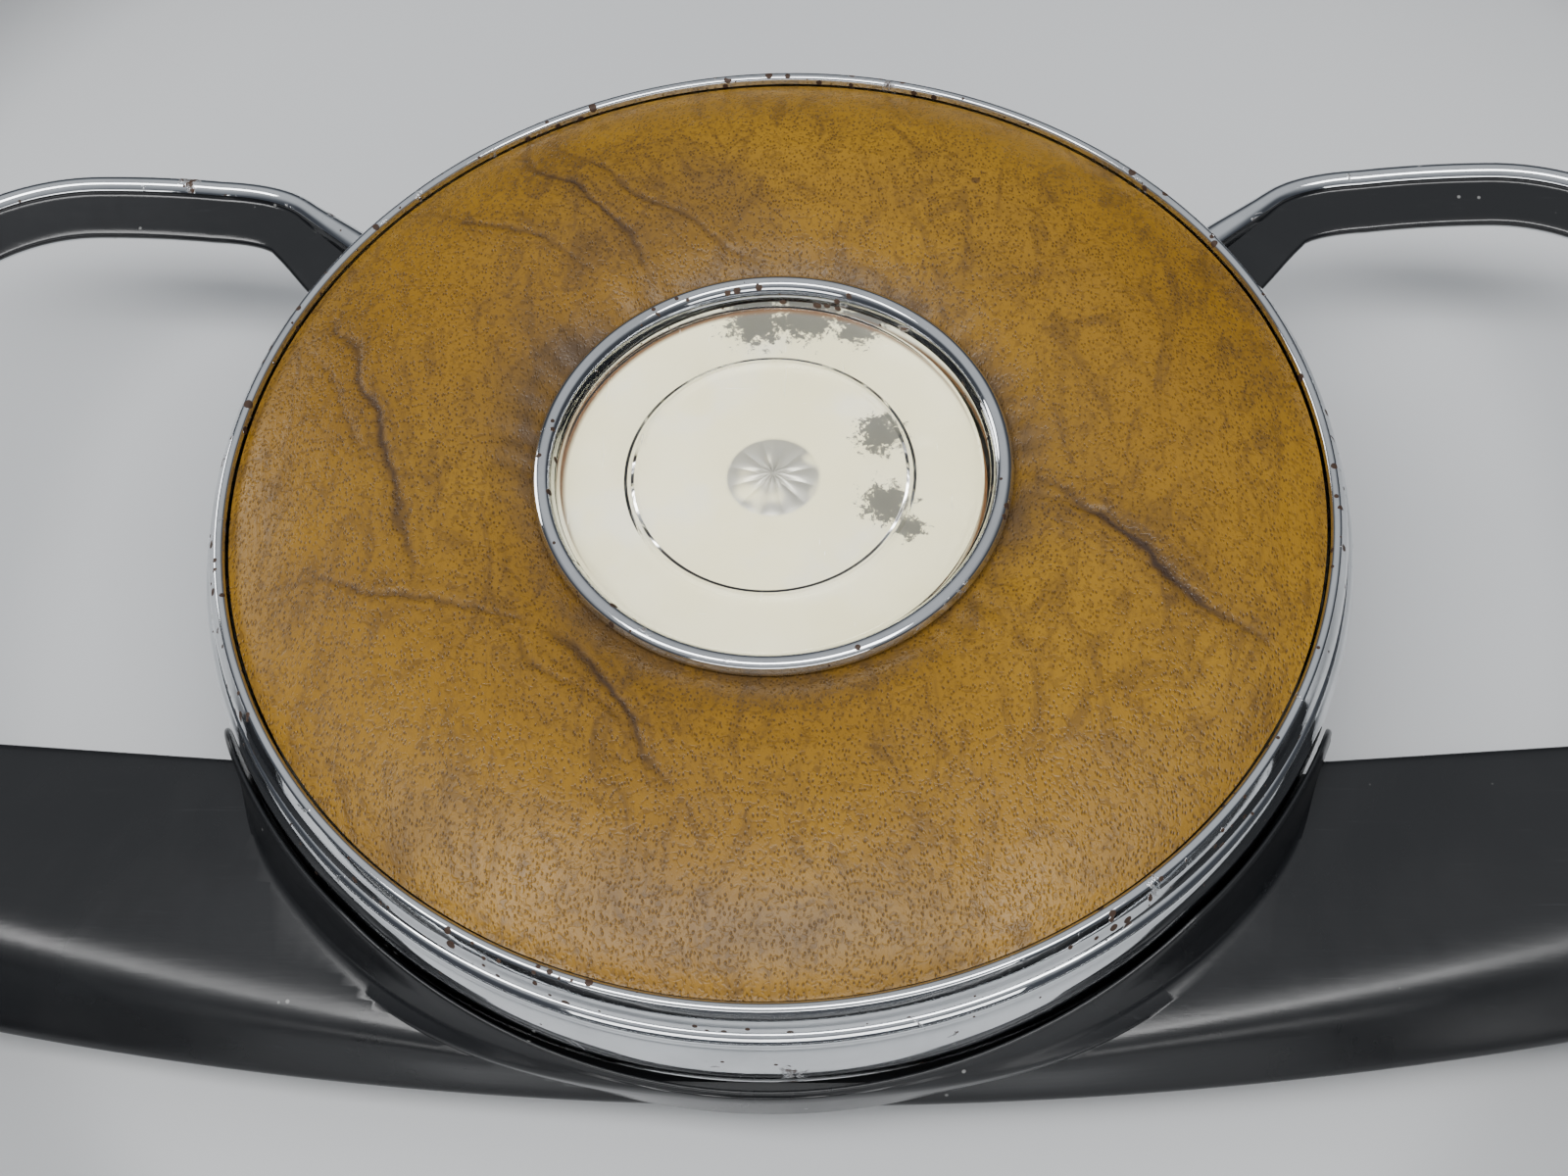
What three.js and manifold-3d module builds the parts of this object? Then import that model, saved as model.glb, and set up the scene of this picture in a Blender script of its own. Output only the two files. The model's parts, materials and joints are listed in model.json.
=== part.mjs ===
// A classic car's steering wheel: a thin moulded rim on two low spokes, a sprung chrome horn ring,
// and a round leather pad with a badge in its centre.
//
// Millimetres. The origin is on the steering axis, in the plane of the rear skirt's edge, which the wheel
// rests on when it lies face up. +Z points to the driver and +Y to the top of the wheel.
import * as THREE from "three";
import { mergeVertices } from "three/addons/utils/BufferGeometryUtils.js";
import Module from "manifold-3d";

const wasm = await Module();
wasm.setup();

// ---------- Driving dimensions ----------
const CLEARANCE = 0.3; // between pieces that touch

// Rim and spokes
const RIM_RADIUS = 199; // steering axis to the middle of the grip
const GRIP_RADIUS = 11;
const RIM_Z = 34; // middle of the grip
const SPOKE_TOP_Z = 24; // flat top of the spokes, near the hub
const SPOKE_THICKNESS = 9.5;
const SPOKE_ROOT_EXTRA = 5; // the spokes' backs are this much fuller at the hub
const SPOKE_UPPER_Y = -32.3; // upper edge where it leaves the hub
const SPOKE_UPPER_CLIMB = 8.6; // and how much further up it meets the rim
const SPOKE_END_WIDTH = 20.6;
const SPOKE_END_RISE = 4; // the spoke's end lies this far above the middle of the grip
const SPOKE_END_DEPTH = 2; // and reaches this far into the grip
const RIDGE_SHARE = 0.75; // the ridge between top and front face, as a share of the width, beside the hub
const RIDGE_DRIFT = 0.0028; // it nears the lower edge by this share for each millimetre towards the axis

// Hub moulding
const HUB_BACK_Z = 6;
const SKIRT_RADIUS = 47;
const SKIRT_WALL = 3;
const BOWL_FLOOR_COVER = 2.7; // moulding over the steel disc
const SHELF_STEP = 4.5; // the shelf under the horn ring stands this far above the bowl's floor
const COLLAR_WALL = 1.4;
const COLLAR_TOP_Z = 32;
const COLLAR_FOOT_Z = 25.4; // collar's top edge at six o'clock
const COLLAR_TILT = 0.33; // the top edge climbs this much for each millimetre towards twelve o'clock
const COLLAR_END_ANGLE = THREE.MathUtils.degToRad(22.5); // below three and nine o'clock

// Steel inside the moulding
const CORE_RADIUS = 3.2; // ring inside the grip
const CORE_BAR_WIDTH = 15;
const CORE_BAR_THICKNESS = 3;
const DISC_Z = 9.3;
const DISC_THICKNESS = 3;
const BOSS_RADIUS = 18;
const BOSS_BACK_Z = 3;
const BOSS_FRONT_Z = 26;
const BOSS_FLANGE_WIDTH = 12;
const BOSS_FLANGE_THICKNESS = 2.7;
const SPLINE_ROOT_RADIUS = 9;
const SPLINE_TIP_RADIUS = 8.2;
const SPLINE_TEETH = 18;
const NUT_RECESS_RADIUS = 13;
const NUT_SEAT_Z = 20;
const RIVET_RADIUS = 2;

// Rear contacts
const REAR_CARRIER_BACK_Z = 2.2;
const REAR_CARRIER_EDGE = 2; // width outside the screws' circle
const SLIP_RING_WIDTH = 4;
const SLIP_RING_THICKNESS = 1.5;
const SLIP_RING_MARGIN = 3.9; // carrier inside the slip ring's groove
const CAM_WALL = 2.2;
const REAR_SCREW_RADIUS = 1.4;
const LEAD_RADIUS = 0.9;

// Horn ring
const HORN_HUB_RADIUS = 77.5; // widest point of the deep chrome hub ring
const HORN_HUB_WALL = 2.4;
const HORN_HUB_HEIGHT = 13.7;
const HORN_FLANGE_WIDTH = 17.5; // from the hub ring's widest point inwards
const HORN_FLANGE_THICKNESS = 3;
const HORN_SPACE = 4.5; // room under the hub ring for its press and tilt
const HORN_RUN = 137; // steering axis to the middle of the band
const HORN_TOP_Y = 55.7; // the band's flat run above the hub
const HORN_SHOULDER = 30; // radius where the flat run turns down
const BAND_WIDTH = 9.6;
const BAND_TOP_Z = 37;
const BAND_BOTTOM_Z = 31;
const COLLAR_GAP = 0.8; // between the horn ring's hub and the moulding's collar

// Horn carrier, springs and contacts
const CARRIER_THICKNESS = 1.5;
const SHOULDER_SCREW_RADIUS = 2.5;
const SHOULDER_HEAD_RADIUS = 5.4;
const SHOULDER_HEAD_HEIGHT = 1.7;
const BUSH_WALL = 1.2;
const BUSH_FLANGE_WIDTH = 2.2;
const BUSH_FLANGE_THICKNESS = 1.5;
const WASHER_THICKNESS = 0.6;
const SPRING_PLAY = 1.4; // shoulder screw to the inside of its spring
const SPRING_WIRE = 0.7;
const SPRING_TURNS = 3;
const STUD_RADIUS = 2;
const STUD_GAP = 3.4; // contact stud to contact ring: the horn's press and tilt together, and a little more
const CONTACT_WIDTH = 8;
const CONTACT_THICKNESS = 1;
const CARRIER_SCREW_RADIUS = 1.6;

// Pad
const PAD_BASE_THICKNESS = 1;
const PAD_BASE_DROP = 2.2; // below the top of the horn ring's hub
const PAD_BASE_PLAY = 2; // round the plate, inside the hub ring
const TRIM_HEIGHT = 4.3; // top of the horn ring's hub to the trim ring's lip
const TRIM_INSET = 1.7; // the trim ring is this much smaller than the hub ring
const TRIM_WIDTH = 2.8;
const LEATHER_THICKNESS = 1.2;
const CLIP_WIDTH = 7;
const CLIP_SHEET = 0.8;

// Badge
const BADGE_RING_RADIUS = 31.8;
const BADGE_RING_WIDTH = 2.6;
const BADGE_RING_HEIGHT = 4.5; // above the trim ring's lip
const LENS_SINK = 2.2; // below the badge ring's top
const LENS_THICKNESS = 2.5;
const BACKING_THICKNESS = 0.5;
const CUP_WALL = 1;
const CUP_DEPTH = 2.6;
const BADGE_STUD_RADIUS = 2.5;

// Facets
const RIM_FACETS = 40;
const RING_FACETS = 40;
const DISC_FACETS = 32;
const SMALL_FACETS = 8;

// ---------- Values worked out from the dimensions ----------
const THIRDS = [0, 1, 2];
const SCREW_ANGLES = THIRDS.map((i) => Math.PI / 2 + (i * 2 * Math.PI) / 3);
const STUD_ANGLES = SCREW_ANGLES.map((a) => a + Math.PI / 3);
// Radii, from the steering axis outwards
const rivetCircle = BOSS_RADIUS + BOSS_FLANGE_WIDTH / 2 + 0.5;
const bossFlangeRadius = BOSS_RADIUS + BOSS_FLANGE_WIDTH;
const openingRadius = bossFlangeRadius + 2;
const carrierBackInner = BOSS_RADIUS + CLEARANCE + CAM_WALL + CLEARANCE;
const slipInner = carrierBackInner + SLIP_RING_MARGIN + CLEARANCE;
const rearScrewCircle = openingRadius + 2 * REAR_SCREW_RADIUS;
const rearCarrierRadius = rearScrewCircle + 2 * REAR_SCREW_RADIUS + REAR_CARRIER_EDGE / 4;
const contactInner = openingRadius + 1;
const contactOuter = contactInner + CONTACT_WIDTH;
const leadCircle = contactInner + CONTACT_WIDTH / 2;
const bushRadius = SHOULDER_SCREW_RADIUS + CLEARANCE + BUSH_WALL;
const bushFlangeRadius = bushRadius + BUSH_FLANGE_WIDTH;
const springRadius = SHOULDER_SCREW_RADIUS + SPRING_PLAY + SPRING_WIRE;
const springCircle = contactOuter + bushFlangeRadius + 0.8;
const discRadius = springCircle + 8;
const collarInner = HORN_HUB_RADIUS + COLLAR_GAP;
const hubRadius = HORN_HUB_RADIUS - 5.5;
const hornFlangeInner = HORN_HUB_RADIUS - HORN_FLANGE_WIDTH;
const bowlRadius = hornFlangeInner - 2;
const hornHubInner = HORN_HUB_RADIUS - HORN_HUB_WALL - 1.5;
const carrierScrewCircle = (hornFlangeInner + hornHubInner) / 2 - 0.8;
const clipCircle = (hornFlangeInner + hornHubInner) / 2 - 4.8;
const padBaseRadius = hornHubInner - PAD_BASE_PLAY;
const trimRadius = HORN_HUB_RADIUS - TRIM_INSET;
const trimLipRadius = trimRadius - TRIM_WIDTH;
// Heights, from the back forwards
const discTop = DISC_Z + DISC_THICKNESS;
const bowlFloorZ = discTop + BOWL_FLOOR_COVER;
const shelfZ = bowlFloorZ + SHELF_STEP;
const hornHubBottom = shelfZ + HORN_SPACE;
const hornHubTop = hornHubBottom + HORN_HUB_HEIGHT;
const flangeTop = hornHubBottom + HORN_FLANGE_THICKNESS + 0.4;
const carrierZ = flangeTop + CLEARANCE;
const carrierTop = carrierZ + CARRIER_THICKNESS;
const washerZ = carrierTop + CLEARANCE;
const headZ = washerZ + WASHER_THICKNESS + CLEARANCE;
const contactZ = bowlFloorZ + CLEARANCE;
const contactTop = contactZ + CONTACT_THICKNESS;
const padBaseZ = hornHubTop - PAD_BASE_DROP;
const lipZ = hornHubTop + TRIM_HEIGHT;
const badgeTop = lipZ + BADGE_RING_HEIGHT;
const lensTop = badgeTop - LENS_SINK;
const lensRadius = BADGE_RING_RADIUS - BADGE_RING_WIDTH - CLEARANCE - 0.5;
const lensZ = lensTop - LENS_THICKNESS;
const backingZ = lensZ - CLEARANCE - BACKING_THICKNESS;
const cupTop = backingZ - CLEARANCE;
const cupZ = cupTop - CUP_DEPTH;

// ---------- Materials ----------
function material(color, roughness, metalness) {
  return new THREE.MeshStandardMaterial({ color, roughness, metalness });
}
const chrome = material(0xd6dade, 0.12, 1);
const blackMoulding = material(0x15171a, 0.38, 0);
const steel = material(0x8d9094, 0.45, 1);
const zincSteel = material(0xb3b0a2, 0.4, 1);
const springSteel = material(0x6c6f73, 0.35, 1);
const brass = material(0xb58a3c, 0.35, 1);
const bakelite = material(0x3b2418, 0.5, 0);
const fibre = material(0x8a3a2a, 0.7, 0);
const leather = material(0xb07c28, 0.55, 0);
const foam = material(0xd9c58e, 0.95, 0);
const clearAcrylic = material(0xf3efe0, 0.08, 0);
const creamPaint = material(0xeee6cc, 0.4, 0);
const leadInsulation = material(0x5a3a22, 0.6, 0);

// ---------- Shape helpers ----------
function solid(geometry) {
  const bare = geometry.index ? geometry.clone() : mergeVertices(geometry);
  bare.deleteAttribute("normal");
  bare.deleteAttribute("uv");
  const merged = mergeVertices(bare, 1e-4);
  return new wasm.Manifold(
    new wasm.Mesh({
      numProp: 3,
      vertProperties: new Float32Array(merged.attributes.position.array),
      triVerts: new Uint32Array(merged.index.array),
    }),
  );
}

function geometryOf(manifold) {
  const mesh = manifold.getMesh();
  const geometry = new THREE.BufferGeometry();
  geometry.setAttribute("position", new THREE.BufferAttribute(mesh.vertProperties, 3));
  geometry.setIndex(new THREE.BufferAttribute(mesh.triVerts, 1));
  return geometry;
}

const points2 = (pairs) => pairs.map(([x, y]) => new THREE.Vector2(x, y));

// A closed profile of [radius, z] pairs, listed anticlockwise, turned about the steering axis.
function turned(profile, facets = DISC_FACETS) {
  const closed = points2([...profile, profile[0]]);
  return solid(new THREE.LatheGeometry(closed, facets).rotateX(Math.PI / 2));
}

function tubeWall(inner, outer, z0, z1, facets) {
  return turned([[inner, z0], [outer, z0], [outer, z1], [inner, z1]], facets);
}

// A round bar parallel to the steering axis, centred at x, y.
function bar(radius, z0, z1, x = 0, y = 0, facets = SMALL_FACETS) {
  const cylinder = new THREE.CylinderGeometry(radius, radius, z1 - z0, facets);
  return solid(cylinder.rotateX(Math.PI / 2).translate(x, y, (z0 + z1) / 2));
}

const polar = (radius, angle) => [radius * Math.cos(angle), radius * Math.sin(angle)];

// A round rod along a smooth curve through the points.
function rod(points, radius, steps, sides = 6) {
  const section = new THREE.Shape();
  section.setFromPoints(
    Array.from({ length: sides }, (_, i) => {
      const [x, y] = polar(radius, (i * 2 * Math.PI) / sides);
      return new THREE.Vector2(x, y);
    }),
  );
  const extrudePath = new THREE.CatmullRomCurve3(points.map((p) => new THREE.Vector3(...p)));
  return solid(new THREE.ExtrudeGeometry(section, { steps, extrudePath, bevelEnabled: false }));
}

// A skin over a row of sections, which are equally long lists of THREE.Vector3, with flat ends
// triangulated on the plan outline.
function loft(sections, outline) {
  const count = outline.length;
  const positions = sections.flat().flatMap((v) => [v.x, v.y, v.z]);
  const faces = [];
  for (let i = 0; i + 1 < sections.length; i++) {
    for (let j = 0; j < count; j++) {
      const a = i * count + j;
      const b = i * count + ((j + 1) % count);
      faces.push(a, b, b + count, a, b + count, a + count);
    }
  }
  const last = (sections.length - 1) * count;
  const clockwise = THREE.ShapeUtils.isClockWise(outline);
  for (const face of THREE.ShapeUtils.triangulateShape(outline, [])) {
    const corners = face.map((index) => outline[index]);
    const [a, b, c] = THREE.ShapeUtils.isClockWise(corners) === clockwise ? face : face.toReversed();
    faces.push(c, b, a, last + a, last + b, last + c);
  }
  const geometry = new THREE.BufferGeometry();
  geometry.setAttribute("position", new THREE.Float32BufferAttribute(positions, 3));
  geometry.setIndex(faces);
  return solid(geometry);
}

const joined = (first, ...others) => others.reduce((sum, next) => sum.add(next), first);
const cut = (first, ...others) => others.reduce((rest, next) => rest.subtract(next), first);

const wheel = new THREE.Group();
function addPiece(name, manifold, look) {
  const mesh = new THREE.Mesh(geometryOf(manifold), look);
  mesh.name = name;
  wheel.add(mesh);
}

// ---------- Spoke bar: one wing that runs from rim to rim under the hub ----------
const spokeEndX = RIM_RADIUS - GRIP_RADIUS + SPOKE_END_DEPTH;
const spokeRiseStart = HORN_RUN + BAND_WIDTH / 2; // the spokes stay low until they are past the horn ring
const spokeLowerStart = -(HORN_HUB_RADIUS - 0.7);

function spokeUpperY(x) {
  const beyondHub = Math.max(0, Math.abs(x) - hubRadius) / (spokeEndX - hubRadius);
  return SPOKE_UPPER_Y + beyondHub * SPOKE_UPPER_CLIMB;
}
function spokeLowerY(x) {
  const end = spokeUpperY(spokeEndX) - SPOKE_END_WIDTH;
  return spokeLowerStart + (end - spokeLowerStart) * (x / spokeEndX) ** 2;
}
function spokeTopZ(x) {
  const rise = RIM_Z + SPOKE_END_RISE - SPOKE_TOP_Z;
  return SPOKE_TOP_Z + rise * THREE.MathUtils.smoothstep(Math.abs(x), spokeRiseStart, spokeEndX);
}

// The wing's section at x as [y, z]: flat top, ridge, steep front face and a fuller back near the hub.
function spokeSection(x) {
  const side = Math.abs(x);
  const upper = spokeUpperY(x);
  const lower = spokeLowerY(x);
  const top = spokeTopZ(x);
  const t = SPOKE_THICKNESS;
  const share = RIDGE_SHARE + (hubRadius + 26 - side) * RIDGE_DRIFT;
  const ridge = upper + (lower - upper) * THREE.MathUtils.clamp(share, 0.62, 0.92);
  const fuller = SPOKE_ROOT_EXTRA * (1 - THREE.MathUtils.smoothstep(side, hubRadius, hubRadius + 48));
  return points2([
    [upper, top - 0.5 * t], [upper - 0.9, top], [ridge + 2, top], [ridge - 1.5, top - 0.16 * t],
    [lower + 1, top - 0.76 * t], [lower, top - 0.93 * t], [lower + 0.8, top - 1.05 * t],
    [lower + 6, top - 1.1 * t - fuller], [upper - 6, top - t - fuller], [upper - 1, top - 0.8 * t],
  ]);
}

function spokeBar() {
  const steps = 24;
  const sections = Array.from({ length: steps + 1 }, (_, i) => {
    const x = -spokeEndX + (2 * spokeEndX * i) / steps;
    return spokeSection(x).map((p) => new THREE.Vector3(x, p.x, p.y));
  });
  return loft(sections, spokeSection(spokeEndX));
}

// ---------- Steel core: rim ring, spoke bars and hub disc, grown by a clearance to cut its own cavity ----------
// Each flat bar starts on the disc, leaves the hub under its shelf and climbs inside the spoke to the rim.
const barStartX = discRadius - 18;
const barLeavesDiscX = discRadius - 14;
const barInSpokeX = hubRadius + 14;
const barStartY = -28;

function coreBar(side, grow) {
  const discMiddle = DISC_Z + DISC_THICKNESS / 2;
  const endX = spokeEndX + 4;
  const steps = 14;
  const w = CORE_BAR_WIDTH / 2 + grow;
  const t = CORE_BAR_THICKNESS / 2 + grow;
  const outline = points2([[-w, -t], [w, -t], [w, t], [-w, t]]);
  const sections = Array.from({ length: steps + 1 }, (_, i) => {
    const x = barStartX - grow + ((endX - barStartX + grow) * i) / steps;
    const inSpoke = THREE.MathUtils.smoothstep(x, barLeavesDiscX, barInSpokeX);
    const spokeY = (spokeUpperY(x) + spokeLowerY(x)) / 2;
    const y = THREE.MathUtils.lerp(barStartY, spokeY, Math.min(1, (x - barStartX) / 40));
    const z = THREE.MathUtils.lerp(discMiddle, spokeTopZ(x) - SPOKE_THICKNESS * 0.53, inSpoke);
    return outline.map((p) => new THREE.Vector3(side * x, y + side * p.x, z + p.y));
  });
  return loft(sections, outline);
}

function steelCore(grow) {
  const ring = new THREE.TorusGeometry(RIM_RADIUS, CORE_RADIUS + grow, 6, RIM_FACETS);
  const disc = tubeWall(BOSS_RADIUS + CLEARANCE, discRadius + grow, DISC_Z - grow, discTop + grow);
  const bars = [-1, 1].map((side) => coreBar(side, grow));
  return joined(solid(ring.translate(0, 0, RIM_Z)), disc, ...bars);
}

// ---------- Holes that several pieces share ----------
const shoulderScrewHoles = SCREW_ANGLES.map((a) =>
  bar(SHOULDER_SCREW_RADIUS + CLEARANCE, DISC_Z - 1, bowlFloorZ + 1, ...polar(springCircle, a)),
);
const REAR_SCREW_ANGLES = STUD_ANGLES.map((a) => a + Math.PI / 6);
const rearScrewHoles = REAR_SCREW_ANGLES.map((a) =>
  bar(REAR_SCREW_RADIUS + CLEARANCE, 0, discTop + 1, ...polar(rearScrewCircle, a), 8),
);
const RIVET_ANGLES = [0, 1, 2, 3].map((i) => Math.PI / 4 + (i * Math.PI) / 2);
const flangeZ = DISC_Z - CLEARANCE - BOSS_FLANGE_THICKNESS;
const rivetHoles = RIVET_ANGLES.map((a) =>
  bar(RIVET_RADIUS + CLEARANCE, flangeZ - 1, discTop + 1, ...polar(rivetCircle, a), 8),
);

// The horn lead drops from the contact ring, through the hub, to the rear carrier.
const leadEndZ = REAR_CARRIER_BACK_Z + SLIP_RING_THICKNESS + LEAD_RADIUS;
const LEAD_POINTS = [
  [leadCircle, 0, contactZ - CLEARANCE],
  [leadCircle, 0, DISC_Z],
  [leadCircle - 2.2, 0, leadEndZ + 1.2],
  [slipInner + SLIP_RING_WIDTH / 2 + 3, 0, leadEndZ],
  [slipInner + SLIP_RING_WIDTH / 2, 0, leadEndZ],
];
const leadHole = rod(
  [[leadCircle, 0, contactZ + 1], ...LEAD_POINTS.slice(1, 4), [slipInner, 0, leadEndZ]],
  LEAD_RADIUS + CLEARANCE + 0.1,
  10,
);

// ---------- Rim moulding ----------
function collar() {
  const ring = turned(
    [
      [bowlRadius + 4, SPOKE_TOP_Z - SPOKE_THICKNESS],
      [collarInner - 1, SPOKE_TOP_Z - SPOKE_THICKNESS],
      [collarInner + COLLAR_WALL + 0.2, SPOKE_TOP_Z],
      [collarInner + COLLAR_WALL, COLLAR_TOP_Z],
      [collarInner, COLLAR_TOP_Z],
      [collarInner, shelfZ],
      [bowlRadius + 4, shelfZ],
    ],
    RING_FACETS,
  );
  // Above a plane that climbs towards twelve o'clock there is no collar.
  const size = 4 * HORN_HUB_RADIUS;
  const above = new THREE.BoxGeometry(size, size, size)
    .translate(0, 0, size / 2)
    .rotateX(Math.atan(COLLAR_TILT))
    .translate(0, -collarInner, COLLAR_FOOT_Z);
  // Above the spokes there is no collar either: three boxes turned about the axis clear it away.
  const upperHalves = [-COLLAR_END_ANGLE, 0, COLLAR_END_ANGLE].map((turn) => {
    const corner = Math.sign(turn) * -size / 2;
    return solid(new THREE.BoxGeometry(size, size, size).translate(corner, size / 2, 0).rotateZ(turn));
  });
  return cut(ring, solid(above), ...upperHalves);
}

function rimMoulding() {
  const grip = new THREE.TorusGeometry(RIM_RADIUS, GRIP_RADIUS, 8, RIM_FACETS).translate(0, 0, RIM_Z);
  const hub = turned(
    [
      [openingRadius, HUB_BACK_Z], [SKIRT_RADIUS - SKIRT_WALL, HUB_BACK_Z],
      [SKIRT_RADIUS - SKIRT_WALL, 0], [SKIRT_RADIUS, 0], [SKIRT_RADIUS, HUB_BACK_Z],
      [hubRadius - 6, HUB_BACK_Z], [hubRadius, HUB_BACK_Z + 5], [hubRadius, shelfZ],
      [openingRadius, shelfZ],
    ],
    RING_FACETS,
  );
  const body = joined(solid(grip), spokeBar(), collar(), hub);
  const overShelf = bar(collarInner, shelfZ, lipZ, 0, 0, RING_FACETS);
  const bowl = bar(bowlRadius, bowlFloorZ, lipZ, 0, 0, RING_FACETS);
  const opening = bar(openingRadius, 0, lipZ, 0, 0, DISC_FACETS);
  return cut(
    body, overShelf, bowl, opening, steelCore(CLEARANCE), ...shoulderScrewHoles, ...rearScrewHoles, leadHole,
  );
}

addPiece("rim_moulding", rimMoulding(), blackMoulding);
addPiece(
  "steel_core",
  cut(steelCore(0), ...shoulderScrewHoles, ...rearScrewHoles, ...rivetHoles, leadHole),
  steel,
);

// ---------- Hub boss: splined bore, flange and nut recess ----------
function splinedBore() {
  const outline = new THREE.Shape();
  outline.setFromPoints(
    Array.from({ length: 2 * SPLINE_TEETH }, (_, i) => {
      const radius = i % 2 ? SPLINE_TIP_RADIUS : SPLINE_ROOT_RADIUS;
      return new THREE.Vector2(...polar(radius, (i * Math.PI) / SPLINE_TEETH));
    }),
  );
  const depth = NUT_SEAT_Z - BOSS_BACK_Z + 2;
  const prism = new THREE.ExtrudeGeometry(outline, { depth, bevelEnabled: false });
  return solid(prism.translate(0, 0, BOSS_BACK_Z - 1));
}

function hubBoss() {
  const flangeEnd = flangeZ + BOSS_FLANGE_THICKNESS;
  const body = turned([
    [0, BOSS_BACK_Z], [BOSS_RADIUS, BOSS_BACK_Z], [BOSS_RADIUS, flangeZ], [bossFlangeRadius, flangeZ],
    [bossFlangeRadius, flangeEnd], [BOSS_RADIUS, flangeEnd], [BOSS_RADIUS, BOSS_FRONT_Z - 1],
    [BOSS_RADIUS - 1, BOSS_FRONT_Z], [0, BOSS_FRONT_Z],
  ]);
  const recess = bar(NUT_RECESS_RADIUS, NUT_SEAT_Z, BOSS_FRONT_Z + 1, 0, 0, 24);
  return cut(body, splinedBore(), recess, ...rivetHoles);
}
addPiece("hub_boss", hubBoss(), steel);

RIVET_ANGLES.forEach((angle, i) => {
  const [x, y] = polar(rivetCircle, angle);
  const shank = bar(RIVET_RADIUS, flangeZ, discTop + 1, x, y, 8);
  const head = bar(RIVET_RADIUS * 1.7, discTop + CLEARANCE, discTop + 1.6, x, y);
  addPiece("hub_rivet_" + (i + 1), joined(shank, head), steel);
});

// ---------- Rear carrier, slip ring, cancelling cam and lead ----------
const rearCarrierTop = HUB_BACK_Z - CLEARANCE;
const slipGroove = tubeWall(
  slipInner - CLEARANCE,
  slipInner + SLIP_RING_WIDTH + CLEARANCE,
  0,
  REAR_CARRIER_BACK_Z + SLIP_RING_THICKNESS,
);
addPiece(
  "rear_contact_carrier",
  cut(
    tubeWall(carrierBackInner, rearCarrierRadius, REAR_CARRIER_BACK_Z, rearCarrierTop),
    slipGroove,
    ...rearScrewHoles,
    leadHole,
  ),
  bakelite,
);
const slipZ = REAR_CARRIER_BACK_Z - CLEARANCE;
addPiece(
  "slip_ring",
  tubeWall(slipInner, slipInner + SLIP_RING_WIDTH, slipZ, slipZ + SLIP_RING_THICKNESS),
  brass,
);

REAR_SCREW_ANGLES.forEach((angle, i) => {
  const [x, y] = polar(rearScrewCircle, angle);
  const headTop = REAR_CARRIER_BACK_Z - CLEARANCE;
  const head = bar(REAR_SCREW_RADIUS * 1.7, headTop - 1.1, headTop, x, y);
  addPiece("rear_screw_" + (i + 1), joined(bar(REAR_SCREW_RADIUS, headTop - 0.1, discTop, x, y, 8), head), zincSteel);
});

function cancellingCam() {
  const ring = tubeWall(
    BOSS_RADIUS + CLEARANCE,
    BOSS_RADIUS + CLEARANCE + CAM_WALL,
    BOSS_BACK_Z,
    rearCarrierTop,
  );
  const middle = BOSS_RADIUS + CLEARANCE + CAM_WALL / 2;
  const lobes = [-1, 1].map((side) => bar(CAM_WALL / 2 - 0.1, 0.6, BOSS_BACK_Z + 1, side * middle, 0, 8));
  return joined(ring, ...lobes);
}
addPiece("cancelling_cam", cancellingCam(), bakelite);
addPiece("horn_lead", rod(LEAD_POINTS, LEAD_RADIUS, 10), leadInsulation);

// ---------- Fixed horn contact, shoulder screws and springs ----------
addPiece(
  "contact_ring",
  tubeWall(contactInner, contactInner + CONTACT_WIDTH, contactZ, contactTop),
  brass,
);

const bushFlangeTop = carrierZ - CLEARANCE;
const bushBottom = bushFlangeTop - BUSH_FLANGE_THICKNESS;

function coilSpring(x, y) {
  const z0 = bowlFloorZ + CLEARANCE + SPRING_WIRE;
  const z1 = bushBottom - CLEARANCE - SPRING_WIRE;
  const stepsPerTurn = 8;
  const count = SPRING_TURNS * stepsPerTurn;
  const points = Array.from({ length: count + 1 }, (_, i) => {
    const [dx, dy] = polar(springRadius, (i * 2 * Math.PI) / stepsPerTurn);
    return [x + dx, y + dy, z0 + ((z1 - z0) * i) / count];
  });
  return rod(points, SPRING_WIRE, count, 5);
}

SCREW_ANGLES.forEach((angle, i) => {
  const [x, y] = polar(springCircle, angle);
  const shank = bar(SHOULDER_SCREW_RADIUS, DISC_Z, headZ + 1, x, y);
  const head = bar(SHOULDER_HEAD_RADIUS, headZ, headZ + SHOULDER_HEAD_HEIGHT, x, y, 16);
  const slot = new THREE.BoxGeometry(3 * SHOULDER_HEAD_RADIUS, 1.2, 2);
  slot.translate(x, y, headZ + SHOULDER_HEAD_HEIGHT);
  addPiece("shoulder_screw_" + (i + 1), cut(joined(shank, head), solid(slot)), zincSteel);
  addPiece("horn_spring_" + (i + 1), coilSpring(x, y), springSteel);

  const bore = bar(SHOULDER_SCREW_RADIUS + CLEARANCE, bushBottom - 1, headZ, x, y);
  const bush = joined(
    bar(bushFlangeRadius, bushBottom, bushFlangeTop, x, y, 16),
    bar(bushRadius, bushBottom, carrierTop, x, y, 16),
  );
  addPiece("horn_bush_" + (i + 1), cut(bush, bore), fibre);
  const washer = bar(bushFlangeRadius, washerZ, washerZ + WASHER_THICKNESS, x, y, 16);
  addPiece("horn_washer_" + (i + 1), cut(washer, bore), fibre);
});

// ---------- Horn ring: deep hub ring with a flattened outer band on two arms ----------
const carrierScrewHoles = STUD_ANGLES.map((a) =>
  bar(
    CARRIER_SCREW_RADIUS + CLEARANCE, hornHubBottom - 1, carrierTop + 1, ...polar(carrierScrewCircle, a), 8,
  ),
);

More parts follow.
